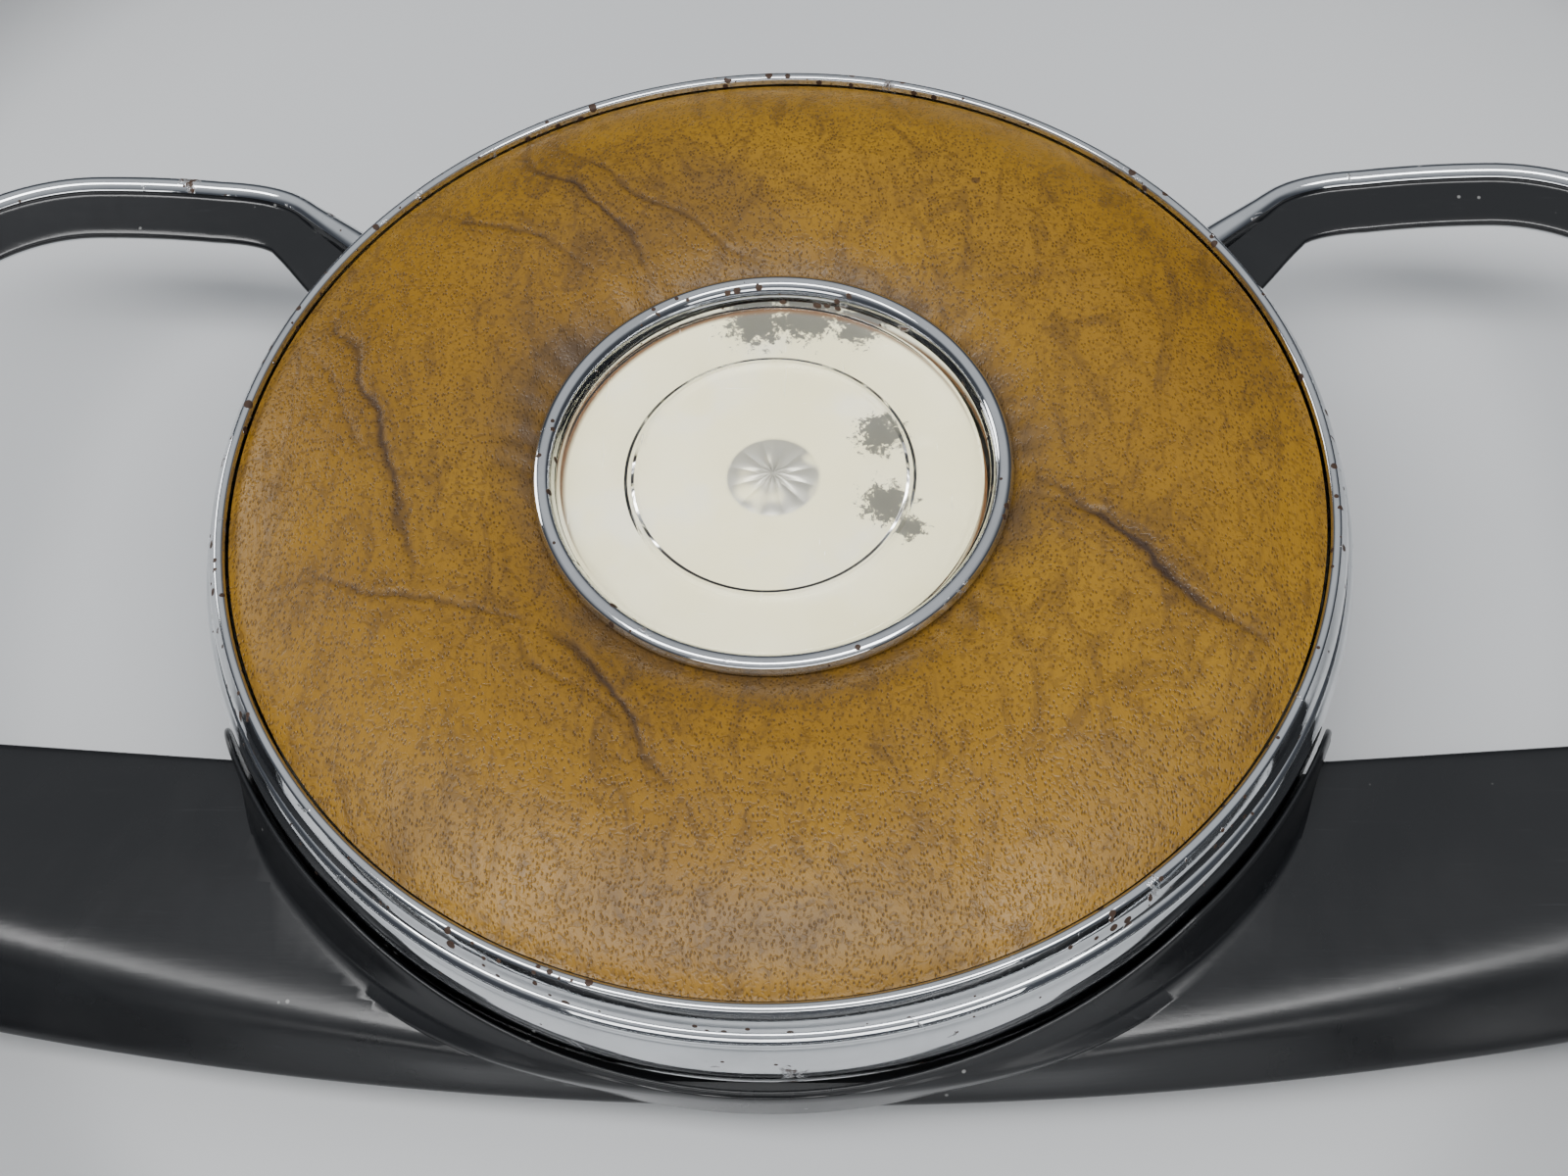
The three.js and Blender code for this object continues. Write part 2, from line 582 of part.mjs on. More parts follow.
// Middle line of the band on the right-hand side, from the hub to six o'clock.
function bandRightHalf() {
  const shoulderX = Math.sqrt((HORN_RUN - HORN_SHOULDER) ** 2 - (HORN_TOP_Y - HORN_SHOULDER) ** 2);
  const shoulderY = HORN_TOP_Y - HORN_SHOULDER;
  const touch = Math.atan2(shoulderY, shoulderX);
  const path = new THREE.CurvePath();
  const rootRadius = HORN_HUB_RADIUS - 1.8;
  const root = new THREE.Vector2(...polar(rootRadius, THREE.MathUtils.degToRad(33.5)));
  const elbow = new THREE.Vector2(HORN_HUB_RADIUS * 0.945, HORN_TOP_Y - 4.8);
  const runStart = new THREE.Vector2(elbow.x + 12, HORN_TOP_Y - 1.2);
  path.add(new THREE.LineCurve(root, elbow));
  path.add(new THREE.QuadraticBezierCurve(elbow, elbow.clone().add(new THREE.Vector2(3.2, 3)), runStart));
  path.add(new THREE.QuadraticBezierCurve(
    runStart, new THREE.Vector2((runStart.x + shoulderX) / 2, HORN_TOP_Y), new THREE.Vector2(shoulderX, HORN_TOP_Y),
  ));
  path.add(new THREE.EllipseCurve(
    shoulderX, shoulderY, HORN_SHOULDER, HORN_SHOULDER, Math.PI / 2, touch, true,
  ));
  path.add(new THREE.EllipseCurve(0, 0, HORN_RUN, HORN_RUN, touch, -Math.PI / 2, true));
  const divisions = [2, 3, 3, 6, 16];
  return path.curves.flatMap((curve, i) => curve.getPoints(divisions[i]).slice(i ? 1 : 0));
}

// Band section: offsets outwards from the middle line, and heights. A bead runs along the outer edge.
const halfBand = BAND_WIDTH / 2;
const BAND_SECTION = points2([
  [halfBand - 1, BAND_BOTTOM_Z], [halfBand, BAND_BOTTOM_Z + 1.5], [halfBand, BAND_TOP_Z - 1],
  [halfBand - 0.9, BAND_TOP_Z], [halfBand - 2.1, BAND_TOP_Z - 0.2], [halfBand - 2.6, BAND_TOP_Z - 1],
  [-halfBand + 0.3, BAND_TOP_Z - 3.4], [-halfBand, BAND_TOP_Z - 4.4], [-halfBand + 1, BAND_BOTTOM_Z],
]);

function hornBand() {
  const right = bandRightHalf();
  const left = right.slice(0, -1).reverse().map((p) => new THREE.Vector2(-p.x, p.y));
  const line = [...right, ...left];
  const sections = line.map((p, i) => {
    const along = line[Math.min(i + 1, line.length - 1)].clone().sub(line[Math.max(i - 1, 0)]).normalize();
    const outwards = new THREE.Vector2(-along.y, along.x);
    return BAND_SECTION.map((s) => new THREE.Vector3(p.x + outwards.x * s.x, p.y + outwards.y * s.x, s.y));
  });
  return loft(sections, BAND_SECTION);
}

function hornRing() {
  const r = HORN_HUB_RADIUS;
  const hub = turned(
    [
      [hornFlangeInner, hornHubBottom + 0.4], [r - 2.5, hornHubBottom], [r - 0.9, hornHubBottom + 0.6],
      [r - 0.2, hornHubBottom + 3], [r, hornHubBottom + 6.5], [r - 0.4, hornHubTop - 3.5],
      [r - 1.3, hornHubTop], [hornHubInner, hornHubTop], [hornHubInner, flangeTop],
      [hornFlangeInner, flangeTop],
    ],
    RING_FACETS,
  );
  return cut(joined(hub, hornBand()), ...carrierScrewHoles);
}
addPiece("horn_ring", hornRing(), chrome);

// ---------- Carrier plate, its screws and the moving contacts ----------
const studZ = contactTop + STUD_GAP;
const STUD_CIRCLE = contactInner + CONTACT_WIDTH / 2;
const bushHoles = SCREW_ANGLES.map((a) =>
  bar(bushRadius + CLEARANCE, carrierZ - 1, carrierTop + 1, ...polar(springCircle, a), 16),
);
const studHoles = STUD_ANGLES.map((a) =>
  bar(STUD_RADIUS + CLEARANCE, carrierZ - 1, carrierTop + 1, ...polar(STUD_CIRCLE, a)),
);
addPiece(
  "horn_carrier_plate",
  cut(
    tubeWall(contactInner + 1, hornHubInner - 2 * CLEARANCE, carrierZ, carrierTop, RING_FACETS),
    ...bushHoles,
    ...studHoles,
    ...carrierScrewHoles,
  ),
  zincSteel,
);

STUD_ANGLES.forEach((angle, i) => {
  const [sx, sy] = polar(STUD_CIRCLE, angle);
  const stud = joined(
    bar(STUD_RADIUS, studZ, carrierTop + 1, sx, sy),
    bar(STUD_RADIUS * 1.6, carrierZ - CLEARANCE - 1.2, carrierZ - CLEARANCE, sx, sy),
  );
  addPiece("contact_stud_" + (i + 1), stud, brass);

  const [x, y] = polar(carrierScrewCircle, angle);
  const screw = joined(
    bar(CARRIER_SCREW_RADIUS, hornHubBottom + 0.5, carrierTop + 1, x, y, 8),
    bar(CARRIER_SCREW_RADIUS * 2, carrierTop + CLEARANCE, carrierTop + 2.2, x, y),
  );
  addPiece("carrier_screw_" + (i + 1), screw, zincSteel);
});

// ---------- Pad: base plate, clips, foam, leather and trim ring ----------
const baseTop = padBaseZ + PAD_BASE_THICKNESS;
const baseStudHole = bar(BADGE_STUD_RADIUS + CLEARANCE, padBaseZ - 1, baseTop + 1);
addPiece(
  "pad_base_plate",
  cut(bar(padBaseRadius, padBaseZ, baseTop, 0, 0, RING_FACETS), baseStudHole),
  zincSteel,
);

// A hat-shaped leaf spring between the base plate and the carrier plate.
function padClip(angle) {
  const bottom = carrierTop + CLEARANCE;
  const top = padBaseZ - CLEARANCE;
  const t = CLIP_SHEET;
  const outline = new THREE.Shape();
  outline.setFromPoints(points2([
    [-7, top - t], [-4, top - t], [-2.4, bottom], [2.4, bottom], [4, top - t], [7, top - t], [7, top],
    [3.4, top], [1.8, bottom + t], [-1.8, bottom + t], [-3.4, top], [-7, top],
  ]));
  const strip = new THREE.ExtrudeGeometry(outline, { depth: CLIP_WIDTH, bevelEnabled: false });
  strip.translate(0, 0, -CLIP_WIDTH / 2).rotateX(Math.PI / 2);
  strip.translate(clipCircle, 0, 0).rotateZ(angle);
  return solid(strip);
}
SCREW_ANGLES.forEach((angle, i) => addPiece("pad_clip_" + (i + 1), padClip(angle), springSteel));

// Crown of the leather as [share of the way from the badge ring to the trim ring, height above the lip].
const CROWN = [[0.03, 2.6], [0.15, 3.9], [0.44, 4.9], [0.71, 4], [0.88, 1.7], [0.985, -1.2]];
const crownAt = (drop) =>
  CROWN.map(([share, h]) => {
    const r = THREE.MathUtils.lerp(BADGE_RING_RADIUS, trimLipRadius, share);
    return [r - drop * 0.4, lipZ + h - drop];
  });

addPiece(
  "pad_leather",
  turned(
    [
      ...crownAt(LEATHER_THICKNESS),
      [trimLipRadius - CLEARANCE - 1.4, baseTop + CLEARANCE + 1.2],
      [trimLipRadius - CLEARANCE - 0.6, baseTop + CLEARANCE + 1.2],
      ...crownAt(0).reverse(),
    ],
    RING_FACETS,
  ),
  leather,
);
const foamTop = crownAt(LEATHER_THICKNESS + CLEARANCE + 0.3);
addPiece(
  "pad_foam",
  turned(
    [[foamTop[0][0], baseTop + CLEARANCE], [padBaseRadius - 1.4, baseTop + CLEARANCE], ...foamTop.slice(0, -1).reverse()],
    DISC_FACETS,
  ),
  foam,
);
addPiece(
  "pad_trim_ring",
  turned(
    [
      [trimLipRadius - 0.4, hornHubTop + CLEARANCE],
      [trimRadius, hornHubTop + CLEARANCE],
      [trimRadius - 0.4, lipZ - 1.8],
      [trimRadius - 1.1, lipZ - 0.4],
      [trimLipRadius + 0.7, lipZ + 0.2],
      [trimLipRadius, lipZ - 0.6],
    ],
    RING_FACETS,
  ),
  chrome,
);

// ---------- Badge: cup with its stud, painted backing, clear lens, chrome ring and nut ----------
const cupRadius = lensRadius - 0.6;
const badgeCup = joined(
  turned([
    [0, cupZ], [cupRadius, cupZ], [cupRadius, cupTop], [cupRadius - CUP_WALL, cupTop],
    [cupRadius - CUP_WALL, cupZ + CUP_WALL], [0, cupZ + CUP_WALL],
  ]),
  bar(BADGE_STUD_RADIUS, padBaseZ - 3.2, cupZ + 0.5),
);
addPiece("badge_cup", badgeCup, zincSteel);
addPiece("badge_backing", bar(lensRadius, backingZ, backingZ + BACKING_THICKNESS, 0, 0, DISC_FACETS), creamPaint);
addPiece(
  "badge_lens",
  turned([
    [0, lensZ], [lensRadius, lensZ], [lensRadius, lensTop - 0.6], [lensRadius - 0.6, lensTop - 0.2],
    [0, lensTop],
  ]),
  clearAcrylic,
);
addPiece(
  "badge_ring",
  turned(
    [
      [lensRadius + CLEARANCE, cupZ + 1], [lensRadius + CLEARANCE + 1, cupZ + 1],
      [BADGE_RING_RADIUS - 1.2, lipZ + 1.4], [BADGE_RING_RADIUS, lipZ + 2.6],
      [BADGE_RING_RADIUS, badgeTop - 1], [BADGE_RING_RADIUS - 0.8, badgeTop],
      [BADGE_RING_RADIUS - BADGE_RING_WIDTH + 0.6, badgeTop - 0.3],
      [lensRadius + CLEARANCE, badgeTop - 1],
    ],
    DISC_FACETS,
  ),
  chrome,
);
addPiece(
  "badge_nut",
  cut(
    bar(4.6, padBaseZ - CLEARANCE - 2, padBaseZ - CLEARANCE, 0, 0, 6),
    bar(BADGE_STUD_RADIUS + CLEARANCE, padBaseZ - 4, padBaseZ),
  ),
  zincSteel,
);

export default wheel;
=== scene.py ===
"""The looks of a classic steering wheel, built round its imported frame.

Shapes are in millimetres. Materials, lights and the camera are in metres.
"""
import json
import math

import bpy
import numpy as np
from mathutils import Matrix, Vector, noise


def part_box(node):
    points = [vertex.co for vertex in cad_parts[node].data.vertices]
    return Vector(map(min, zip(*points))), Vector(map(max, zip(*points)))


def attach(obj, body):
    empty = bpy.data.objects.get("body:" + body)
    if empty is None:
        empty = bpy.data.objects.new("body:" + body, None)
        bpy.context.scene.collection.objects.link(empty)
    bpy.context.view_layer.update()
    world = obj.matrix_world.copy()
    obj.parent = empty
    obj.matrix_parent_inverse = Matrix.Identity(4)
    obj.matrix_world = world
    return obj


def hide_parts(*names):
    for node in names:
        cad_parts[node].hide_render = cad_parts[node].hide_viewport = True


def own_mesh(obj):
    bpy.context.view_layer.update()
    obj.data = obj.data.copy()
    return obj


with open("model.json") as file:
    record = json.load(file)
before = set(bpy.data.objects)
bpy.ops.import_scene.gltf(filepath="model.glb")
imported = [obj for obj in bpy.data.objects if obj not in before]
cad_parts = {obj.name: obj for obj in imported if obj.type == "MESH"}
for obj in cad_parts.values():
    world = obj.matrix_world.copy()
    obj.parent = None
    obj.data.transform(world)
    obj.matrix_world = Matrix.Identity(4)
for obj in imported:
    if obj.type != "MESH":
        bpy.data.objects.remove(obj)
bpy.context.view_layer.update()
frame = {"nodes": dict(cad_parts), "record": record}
MM = 0.001

# ---------- Sizes that the frame gives, in millimetres ----------


def corner(node, which, axis):
    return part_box(node)[which][axis] / MM


def top(node):
    return corner(node, 1, 2)


def bottom(node):
    return corner(node, 0, 2)


def radius(node):
    return corner(node, 1, 1)


LIP_Z = top("pad_trim_ring") - 0.2
TRIM_R = radius("pad_trim_ring")
HUB_R = radius("horn_ring")
HUB_TOP = top("horn_ring")
HUB_BOTTOM = bottom("horn_ring")
BAND_OUTER = corner("horn_ring", 1, 0)
RIM_OUTER = radius("rim_moulding")
BOWL_FLOOR = bottom("contact_ring") - 0.3
BADGE_R = radius("badge_ring")
BADGE_TOP = top("badge_ring")
LENS_R = radius("badge_lens")
LENS_TOP = top("badge_lens")
BACKING_Z = bottom("badge_backing")

# ---------- Sizes of the moulding and the horn ring ----------
GRIP_R = 11
RIM_R = RIM_OUTER - GRIP_R
RIM_Z = top("rim_moulding") - GRIP_R
SHELF_Z = BOWL_FLOOR + 4.5
BOWL_R = 58
OPENING_R = 32
HUB_WALL_R = 72
SKIRT_R = 47
HUB_BACK = 6
COLLAR_GAP = 0.45
COLLAR_WALL = 0.9
COLLAR_IN = HUB_R + COLLAR_GAP
COLLAR_OUT = COLLAR_IN + COLLAR_WALL
COLLAR_END = math.radians(22.5)
SPOKE_TOP = 24
SPOKE_END = RIM_R - 6
BAND_TOP = 37
BAND_BOTTOM = 31
HALF_BAND = 4.8

SHARP_ANGLE = 38  # degrees; edges sharper than this stay crisp

# ---------- Shapes ----------


def fillet(points, size, steps=4, closed=True, about_axis=False):
    """Rounds the corners of a 2-D outline with short curves that start `size` away from each corner."""
    rounded = []
    count = len(points)
    for i, point in enumerate(points):
        if (not closed and i in (0, count - 1)) or (about_axis and abs(point[0]) < 1e-3):
            rounded.append(tuple(point))
            continue
        here = Vector(point)
        before = Vector(points[i - 1]) - here
        after = Vector(points[(i + 1) % count]) - here
        start = here + before.normalized() * min(size, before.length * 0.45)
        end = here + after.normalized() * min(size, after.length * 0.45)
        for k in range(steps + 1):
            t = k / steps
            spot = start * (1 - t) ** 2 + here * (2 * t * (1 - t)) + end * t ** 2
            rounded.append(tuple(spot))
    return rounded


def add_layer(piece, name, values):
    """Gives the first points of a piece these values for its material, and the rest of them 0."""
    spare = len(piece.data.vertices) - len(values)
    layer = piece.data.attributes.new(name, "FLOAT", "POINT")
    layer.data.foreach_set("value", np.concatenate([values, np.zeros(spare)]).astype(np.float32))


def new_piece(name, points, faces, looks, face_looks=None, sharp=SHARP_ANGLE):
    mesh = bpy.data.meshes.new(name)
    mesh.from_pydata([tuple(c * MM for c in p) for p in points], [], faces)
    for look in looks:
        mesh.materials.append(look)
    if face_looks is not None:
        mesh.polygons.foreach_set("material_index", face_looks)
    mesh.polygons.foreach_set("use_smooth", [True] * len(mesh.polygons))
    mesh.set_sharp_from_angle(angle=math.radians(sharp))
    mesh.update()
    piece = bpy.data.objects.new(name, mesh)
    bpy.context.collection.objects.link(piece)
    return piece


def turned(name, profile, look, segments=160, round_by=0.3, at=(0, 0)):
    """A closed [radius, z] profile, listed anticlockwise, turned about an upright axis at `at`."""
    outline = fillet(profile, round_by, about_axis=True) if round_by else profile
    points, rows = [], []
    for r, z in outline:
        if r < 1e-3:
            rows.append([len(points)] * segments)
            points.append((at[0], at[1], z))
            continue
        rows.append(list(range(len(points), len(points) + segments)))
        for k in range(segments):
            a = 2 * math.pi * k / segments
            points.append((at[0] + r * math.cos(a), at[1] + r * math.sin(a), z))
    faces = []
    for i, row in enumerate(rows):
        other = rows[(i + 1) % len(rows)]
        for k in range(segments):
            n = (k + 1) % segments
            loop = list(dict.fromkeys((row[k], row[n], other[n], other[k])))
            if len(loop) > 2:
                faces.append(loop)
    return new_piece(name, points, faces, [look])


def skin(name, sections, looks, closed_path=False, outline_looks=None):
    """A skin over equally long closed sections, capped unless the path closes on itself."""
    count = len(sections[0])
    points = [p for section in sections for p in section]
    faces, face_looks = [], []
    spans = len(sections) if closed_path else len(sections) - 1
    for i in range(spans):
        j = (i + 1) % len(sections)
        for k in range(count):
            n = (k + 1) % count
            faces.append((i * count + k, i * count + n, j * count + n, j * count + k))
            face_looks.append(outline_looks[k] if outline_looks else 0)
    if not closed_path:
        last = (len(sections) - 1) * count
        faces += [tuple(range(count))[::-1], tuple(range(last, last + count))]
        face_looks += [0, 0]
    return new_piece(name, points, faces, looks, face_looks)


def merge(piece, other, operation="UNION"):
    """Joins or cuts one piece with another, and removes the other."""
    modifier = piece.modifiers.new("merge", "BOOLEAN")
    modifier.operation = operation
    modifier.object = other
    modifier.solver = "EXACT"
    graph = bpy.context.evaluated_depsgraph_get()
    mesh = bpy.data.meshes.new_from_object(piece.evaluated_get(graph))
    piece.modifiers.clear()
    piece.data = mesh
    bpy.data.objects.remove(other)
    mesh.polygons.foreach_set("use_smooth", [True] * len(mesh.polygons))
    mesh.set_sharp_from_angle(angle=math.radians(SHARP_ANGLE))
    return piece


def smoothstep(low, high, value):
    t = min(1, max(0, (value - low) / (high - low)))
    return t * t * (3 - 2 * t)


def place(piece, body, slot, *stood_for):
    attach(piece, body)
    if stood_for:
        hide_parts(*stood_for)
    return piece


# ---------- Material building ----------


def node(tree, kind, inputs=None, **settings):
    made = tree.nodes.new(kind)
    for key, value in settings.items():
        setattr(made, key, value)
    for key, value in (inputs or {}).items():
        if isinstance(value, bpy.types.NodeSocket):
            tree.links.new(value, made.inputs[key])
        else:
            made.inputs[key].default_value = value
    return made


def new_look(name, color, roughness, metallic=0.0, **sockets):
    look = bpy.data.materials.new(name)
    look.use_nodes = True
    tree = look.node_tree
    shader = tree.nodes["Principled BSDF"]
    shader.inputs["Base Color"].default_value = (*color, 1)
    shader.inputs["Roughness"].default_value = roughness
    shader.inputs["Metallic"].default_value = metallic
    for key, value in sockets.items():
        shader.inputs[key.replace("_", " ")].default_value = value
    return look, tree, shader


def place_of(tree, stretch=(1, 1, 1)):
    here = node(tree, "ShaderNodeTexCoord").outputs["Object"]
    mapping = node(tree, "ShaderNodeMapping", {"Vector": here})
    mapping.inputs["Scale"].default_value = stretch
    return mapping.outputs["Vector"]


def speckle(tree, where, scale, detail=3.0, rough=0.55, distort=0.0):
    inputs = {
        "Vector": where, "Scale": scale, "Detail": detail, "Roughness": rough, "Distortion": distort,
    }
    return node(tree, "ShaderNodeTexNoise", inputs).outputs["Fac"]


def cells(tree, where, scale, spread=1.0):
    """The distance from the nearest of many scattered points, and three random numbers for that point."""
    inputs = {"Vector": where, "Scale": scale, "Randomness": spread}
    made = node(tree, "ShaderNodeTexVoronoi", inputs, feature="F1")
    picks = node(tree, "ShaderNodeSeparateColor", {0: made.outputs["Color"]}).outputs
    return made.outputs["Distance"], picks


def span(tree, value, low, high, out_low=0.0, out_high=1.0):
    inputs = {
        "Value": value, "From Min": low, "From Max": high, "To Min": out_low, "To Max": out_high,
    }
    return node(tree, "ShaderNodeMapRange", inputs, interpolation_type="SMOOTHSTEP").outputs["Result"]


def calc(tree, operation, a, b=0.0):
    return node(tree, "ShaderNodeMath", {0: a, 1: b}, operation=operation).outputs["Value"]


def blend_color(tree, share, a, b):
    """Goes from colour `a` to colour `b`. The sockets' numbers are those of the mix node's colour form."""
    colors = [(*value, 1) if isinstance(value, tuple) else value for value in (a, b)]
    made = node(tree, "ShaderNodeMix", {0: share, 6: colors[0], 7: colors[1]}, data_type="RGBA")
    return made.outputs[2]


def dent(tree, shader, height, depth, strength=1.0):
    """Adds a bump of `depth` metres on top of the shader's earlier bumps."""
    earlier = shader.inputs["Normal"].links
    made = node(tree, "ShaderNodeBump", {"Height": height, "Distance": depth, "Strength": strength})
    if earlier:
        tree.links.new(earlier[0].from_socket, made.inputs["Normal"])
    tree.links.new(made.outputs["Normal"], shader.inputs["Normal"])


def feed(tree, shader, **sockets):
    for key, value in sockets.items():
        tree.links.new(value, shader.inputs[key.replace("_", " ")])


def attribute(tree, name):
    return node(tree, "ShaderNodeAttribute", attribute_name=name).outputs["Fac"]


# ---------- Materials ----------


def leather_look():
    """Worn mustard leather: dark pores, mottled brown wear, dirt, and painted shade along the creases."""
    look, tree, shader = new_look("leather_grain", (0.3, 0.14, 0.016), 0.45, Specular_IOR_Level=0.4)
    here = place_of(tree)
    wobble = node(tree, "ShaderNodeTexNoise", {"Vector": here, "Scale": 260.0, "Detail": 2.0})
    bent = node(tree, "ShaderNodeVectorMath", {0: wobble.outputs["Color"], 1: (0.0011,) * 3},
                operation="MULTIPLY")
    grain_at = node(tree, "ShaderNodeVectorMath", {0: here, 1: bent.outputs[0]}, operation="ADD").outputs[0]
    slanted = node(tree, "ShaderNodeMapping", {"Vector": grain_at})
    slanted.inputs["Rotation"].default_value = (0, 0, 0.5)
    slanted.inputs["Scale"].default_value = (1.5, 0.8, 1.0)
    pore_gap, _ = cells(tree, slanted.outputs["Vector"], 1500.0, spread=0.85)
    pits = span(tree, pore_gap, 0.1, 0.46, 1.0, 0.0)
    stipple = span(tree, speckle(tree, here, 1300.0, 1.0, 0.4, 0.6), 0.5, 0.7, 0.0, 0.5)
    pores = calc(tree, "MAXIMUM", pits, stipple)
    patch = speckle(tree, here, 30.0, 5.0, 0.62, 0.8)
    broad = speckle(tree, here, 12.0, 3.0, 0.5, 0.3)
    streak = speckle(tree, place_of(tree, (1.0, 0.4, 1.0)), 150.0, 6.0, 0.72, 1.8)
    gold = blend_color(tree, span(tree, broad, 0.3, 0.7), (0.245, 0.12, 0.006), (0.325, 0.168, 0.009))
    worn = blend_color(tree, span(tree, patch, 0.46, 0.76, 0.0, 0.55), gold, (0.15, 0.078, 0.013))
    streaked = blend_color(tree, span(tree, streak, 0.46, 0.66, 0.0, 0.6), worn, (0.1, 0.052, 0.012))
    pore_share = calc(tree, "MULTIPLY", pores, span(tree, patch, 0.25, 0.7, 0.6, 0.92))
    pored = blend_color(tree, pore_share, streaked, (0.06, 0.03, 0.008))
    smudge = span(tree, speckle(tree, here, 80.0, 5.0, 0.7), 0.2, 0.7)
    dirt = calc(tree, "MULTIPLY", attribute(tree, "dirt"), smudge)
    soiled = blend_color(tree, dirt, pored, (0.085, 0.052, 0.027))
    # Painted shade: the creases and the leather round them are darkened in colour, on top of their real depth
    # in the mesh.
    crease_shade = calc(tree, "MULTIPLY", attribute(tree, "crease_shade"), 0.85)
    crease_shaded = blend_color(tree, crease_shade, soiled, (0.042, 0.023, 0.013))
    spot_gap, _ = cells(tree, here, 62.0)
    spotted = blend_color(tree, span(tree, spot_gap, 0.035, 0.055, 0.7, 0.0), crease_shaded, (0.06, 0.03, 0.012))
    feed(tree, shader, Base_Color=spotted)
    feed(tree, shader, Roughness=span(tree, patch, 0.3, 0.75, 0.3, 0.44))
    dent(tree, shader, calc(tree, "SUBTRACT", 1.0, pores), 0.00013, 0.6)
    dent(tree, shader, streak, 0.0004, 0.45)
    dent(tree, shader, broad, 0.003, 0.25)
    return look


def chrome_look(name, rust=1.0, tone=(0.7, 0.72, 0.74)):
    """Bright plating with fine scratches, dull specks and small rust pits. More `rust` gives more pits."""
    look, tree, shader = new_look(name, tone, 0.09, 1.0)
    here = place_of(tree)
    smear = speckle(tree, here, 45.0, 5.0, 0.65, 0.4)
    scratch = speckle(tree, place_of(tree, (1.0, 0.05, 1.0)), 2200.0, 2.0)
    pit_gap, (pick, _, _) = cells(tree, here, 640.0)
    cluster = span(tree, speckle(tree, here, 60.0, 3.0, 0.6), 0.36, 0.6, 0.06 * rust, 0.6 * rust)
    chosen = calc(tree, "LESS_THAN", pick, cluster)
    size = calc(tree, "MULTIPLY", pick, 0.55)
    spot = calc(tree, "LESS_THAN", pit_gap, calc(tree, "ADD", size, 0.1))
    pits = calc(tree, "MULTIPLY", chosen, spot)
    stain = span(tree, speckle(tree, here, 150.0, 6.0, 0.72, 0.5), 0.66 - 0.03 * rust, 0.7)
    rusty = calc(tree, "MAXIMUM", pits, stain)
    bright = blend_color(tree, span(tree, smear, 0.35, 0.7), tone, tuple(c * 0.82 for c in tone))
    brown = blend_color(tree, speckle(tree, here, 900.0), (0.02, 0.013, 0.01), (0.075, 0.036, 0.018))
    feed(tree, shader, Base_Color=blend_color(tree, rusty, bright, brown))
    feed(tree, shader, Metallic=calc(tree, "SUBTRACT", 1.0, calc(tree, "MULTIPLY", rusty, 0.85)))
    polish = calc(tree, "ADD", span(tree, smear, 0.35, 0.75, 0.03, 0.13),
                  span(tree, scratch, 0.55, 0.8, 0.0, 0.1))
    feed(tree, shader, Roughness=calc(tree, "ADD", polish, calc(tree, "MULTIPLY", rusty, 0.55)))
    dent(tree, shader, rusty, 0.00012, 0.6)
    dent(tree, shader, speckle(tree, here, 120.0, 2.0), 0.00025, 0.12)
    return look


def black_look(name, roughness, dust=1.0):
    """Black moulded plastic: satin skin, hairline scratches, specks of dust and a greyish bloom."""
    look, tree, shader = new_look(name, (0.012, 0.013, 0.015), roughness, Specular_IOR_Level=0.5)
    here = place_of(tree)
    bloom = speckle(tree, here, 26.0, 5.0, 0.6, 0.5)
    scratch = speckle(tree, place_of(tree, (0.06, 1.0, 1.0)), 1500.0, 3.0, 0.6, 0.4)
    lint_gap, (_, pick, _) = cells(tree, here, 330.0)
    lint = calc(tree, "MULTIPLY", calc(tree, "LESS_THAN", pick, 0.14 * dust),
                span(tree, lint_gap, 0.05, 0.11, 1.0, 0.0))
    grey = blend_color(tree, span(tree, bloom, 0.4, 0.75, 0.0, 0.6),
                       (0.0055, 0.006, 0.007), (0.0115, 0.012, 0.0135))
    lined = blend_color(tree, span(tree, scratch, 0.62, 0.78, 0.0, 0.3), grey, (0.03, 0.031, 0.034))
    dusty = blend_color(tree, calc(tree, "MULTIPLY", lint, 0.6), lined, (0.3, 0.3, 0.29))
    feed(tree, shader, Base_Color=dusty)
    feed(tree, shader, Roughness=span(tree, bloom, 0.3, 0.75, roughness - 0.04, roughness + 0.08))
    dent(tree, shader, scratch, 0.00003, 0.35)
    dent(tree, shader, speckle(tree, here, 700.0, 3.0), 0.00004, 0.3)
    return look


def lens_look():
    """Clear acrylic with hairline scratches two ways."""
    look, tree, shader = new_look(
        "scratched_acrylic", (0.98, 0.97, 0.92), 0.03, Transmission_Weight=1.0, IOR=1.49)
    scratch = speckle(tree, place_of(tree, (1.0, 0.08, 1.0)), 900.0, 3.0, 0.6, 0.6)
    cross = speckle(tree, place_of(tree, (0.1, 1.0, 1.0)), 1100.0, 3.0, 0.6, 0.8)
    marks = calc(tree, "MAXIMUM", span(tree, scratch, 0.66, 0.74), span(tree, cross, 0.68, 0.76))
    feed(tree, shader, Roughness=calc(tree, "ADD", calc(tree, "MULTIPLY", marks, 0.25), 0.03))
    dent(tree, shader, marks, 0.00002, 0.3)
    return look


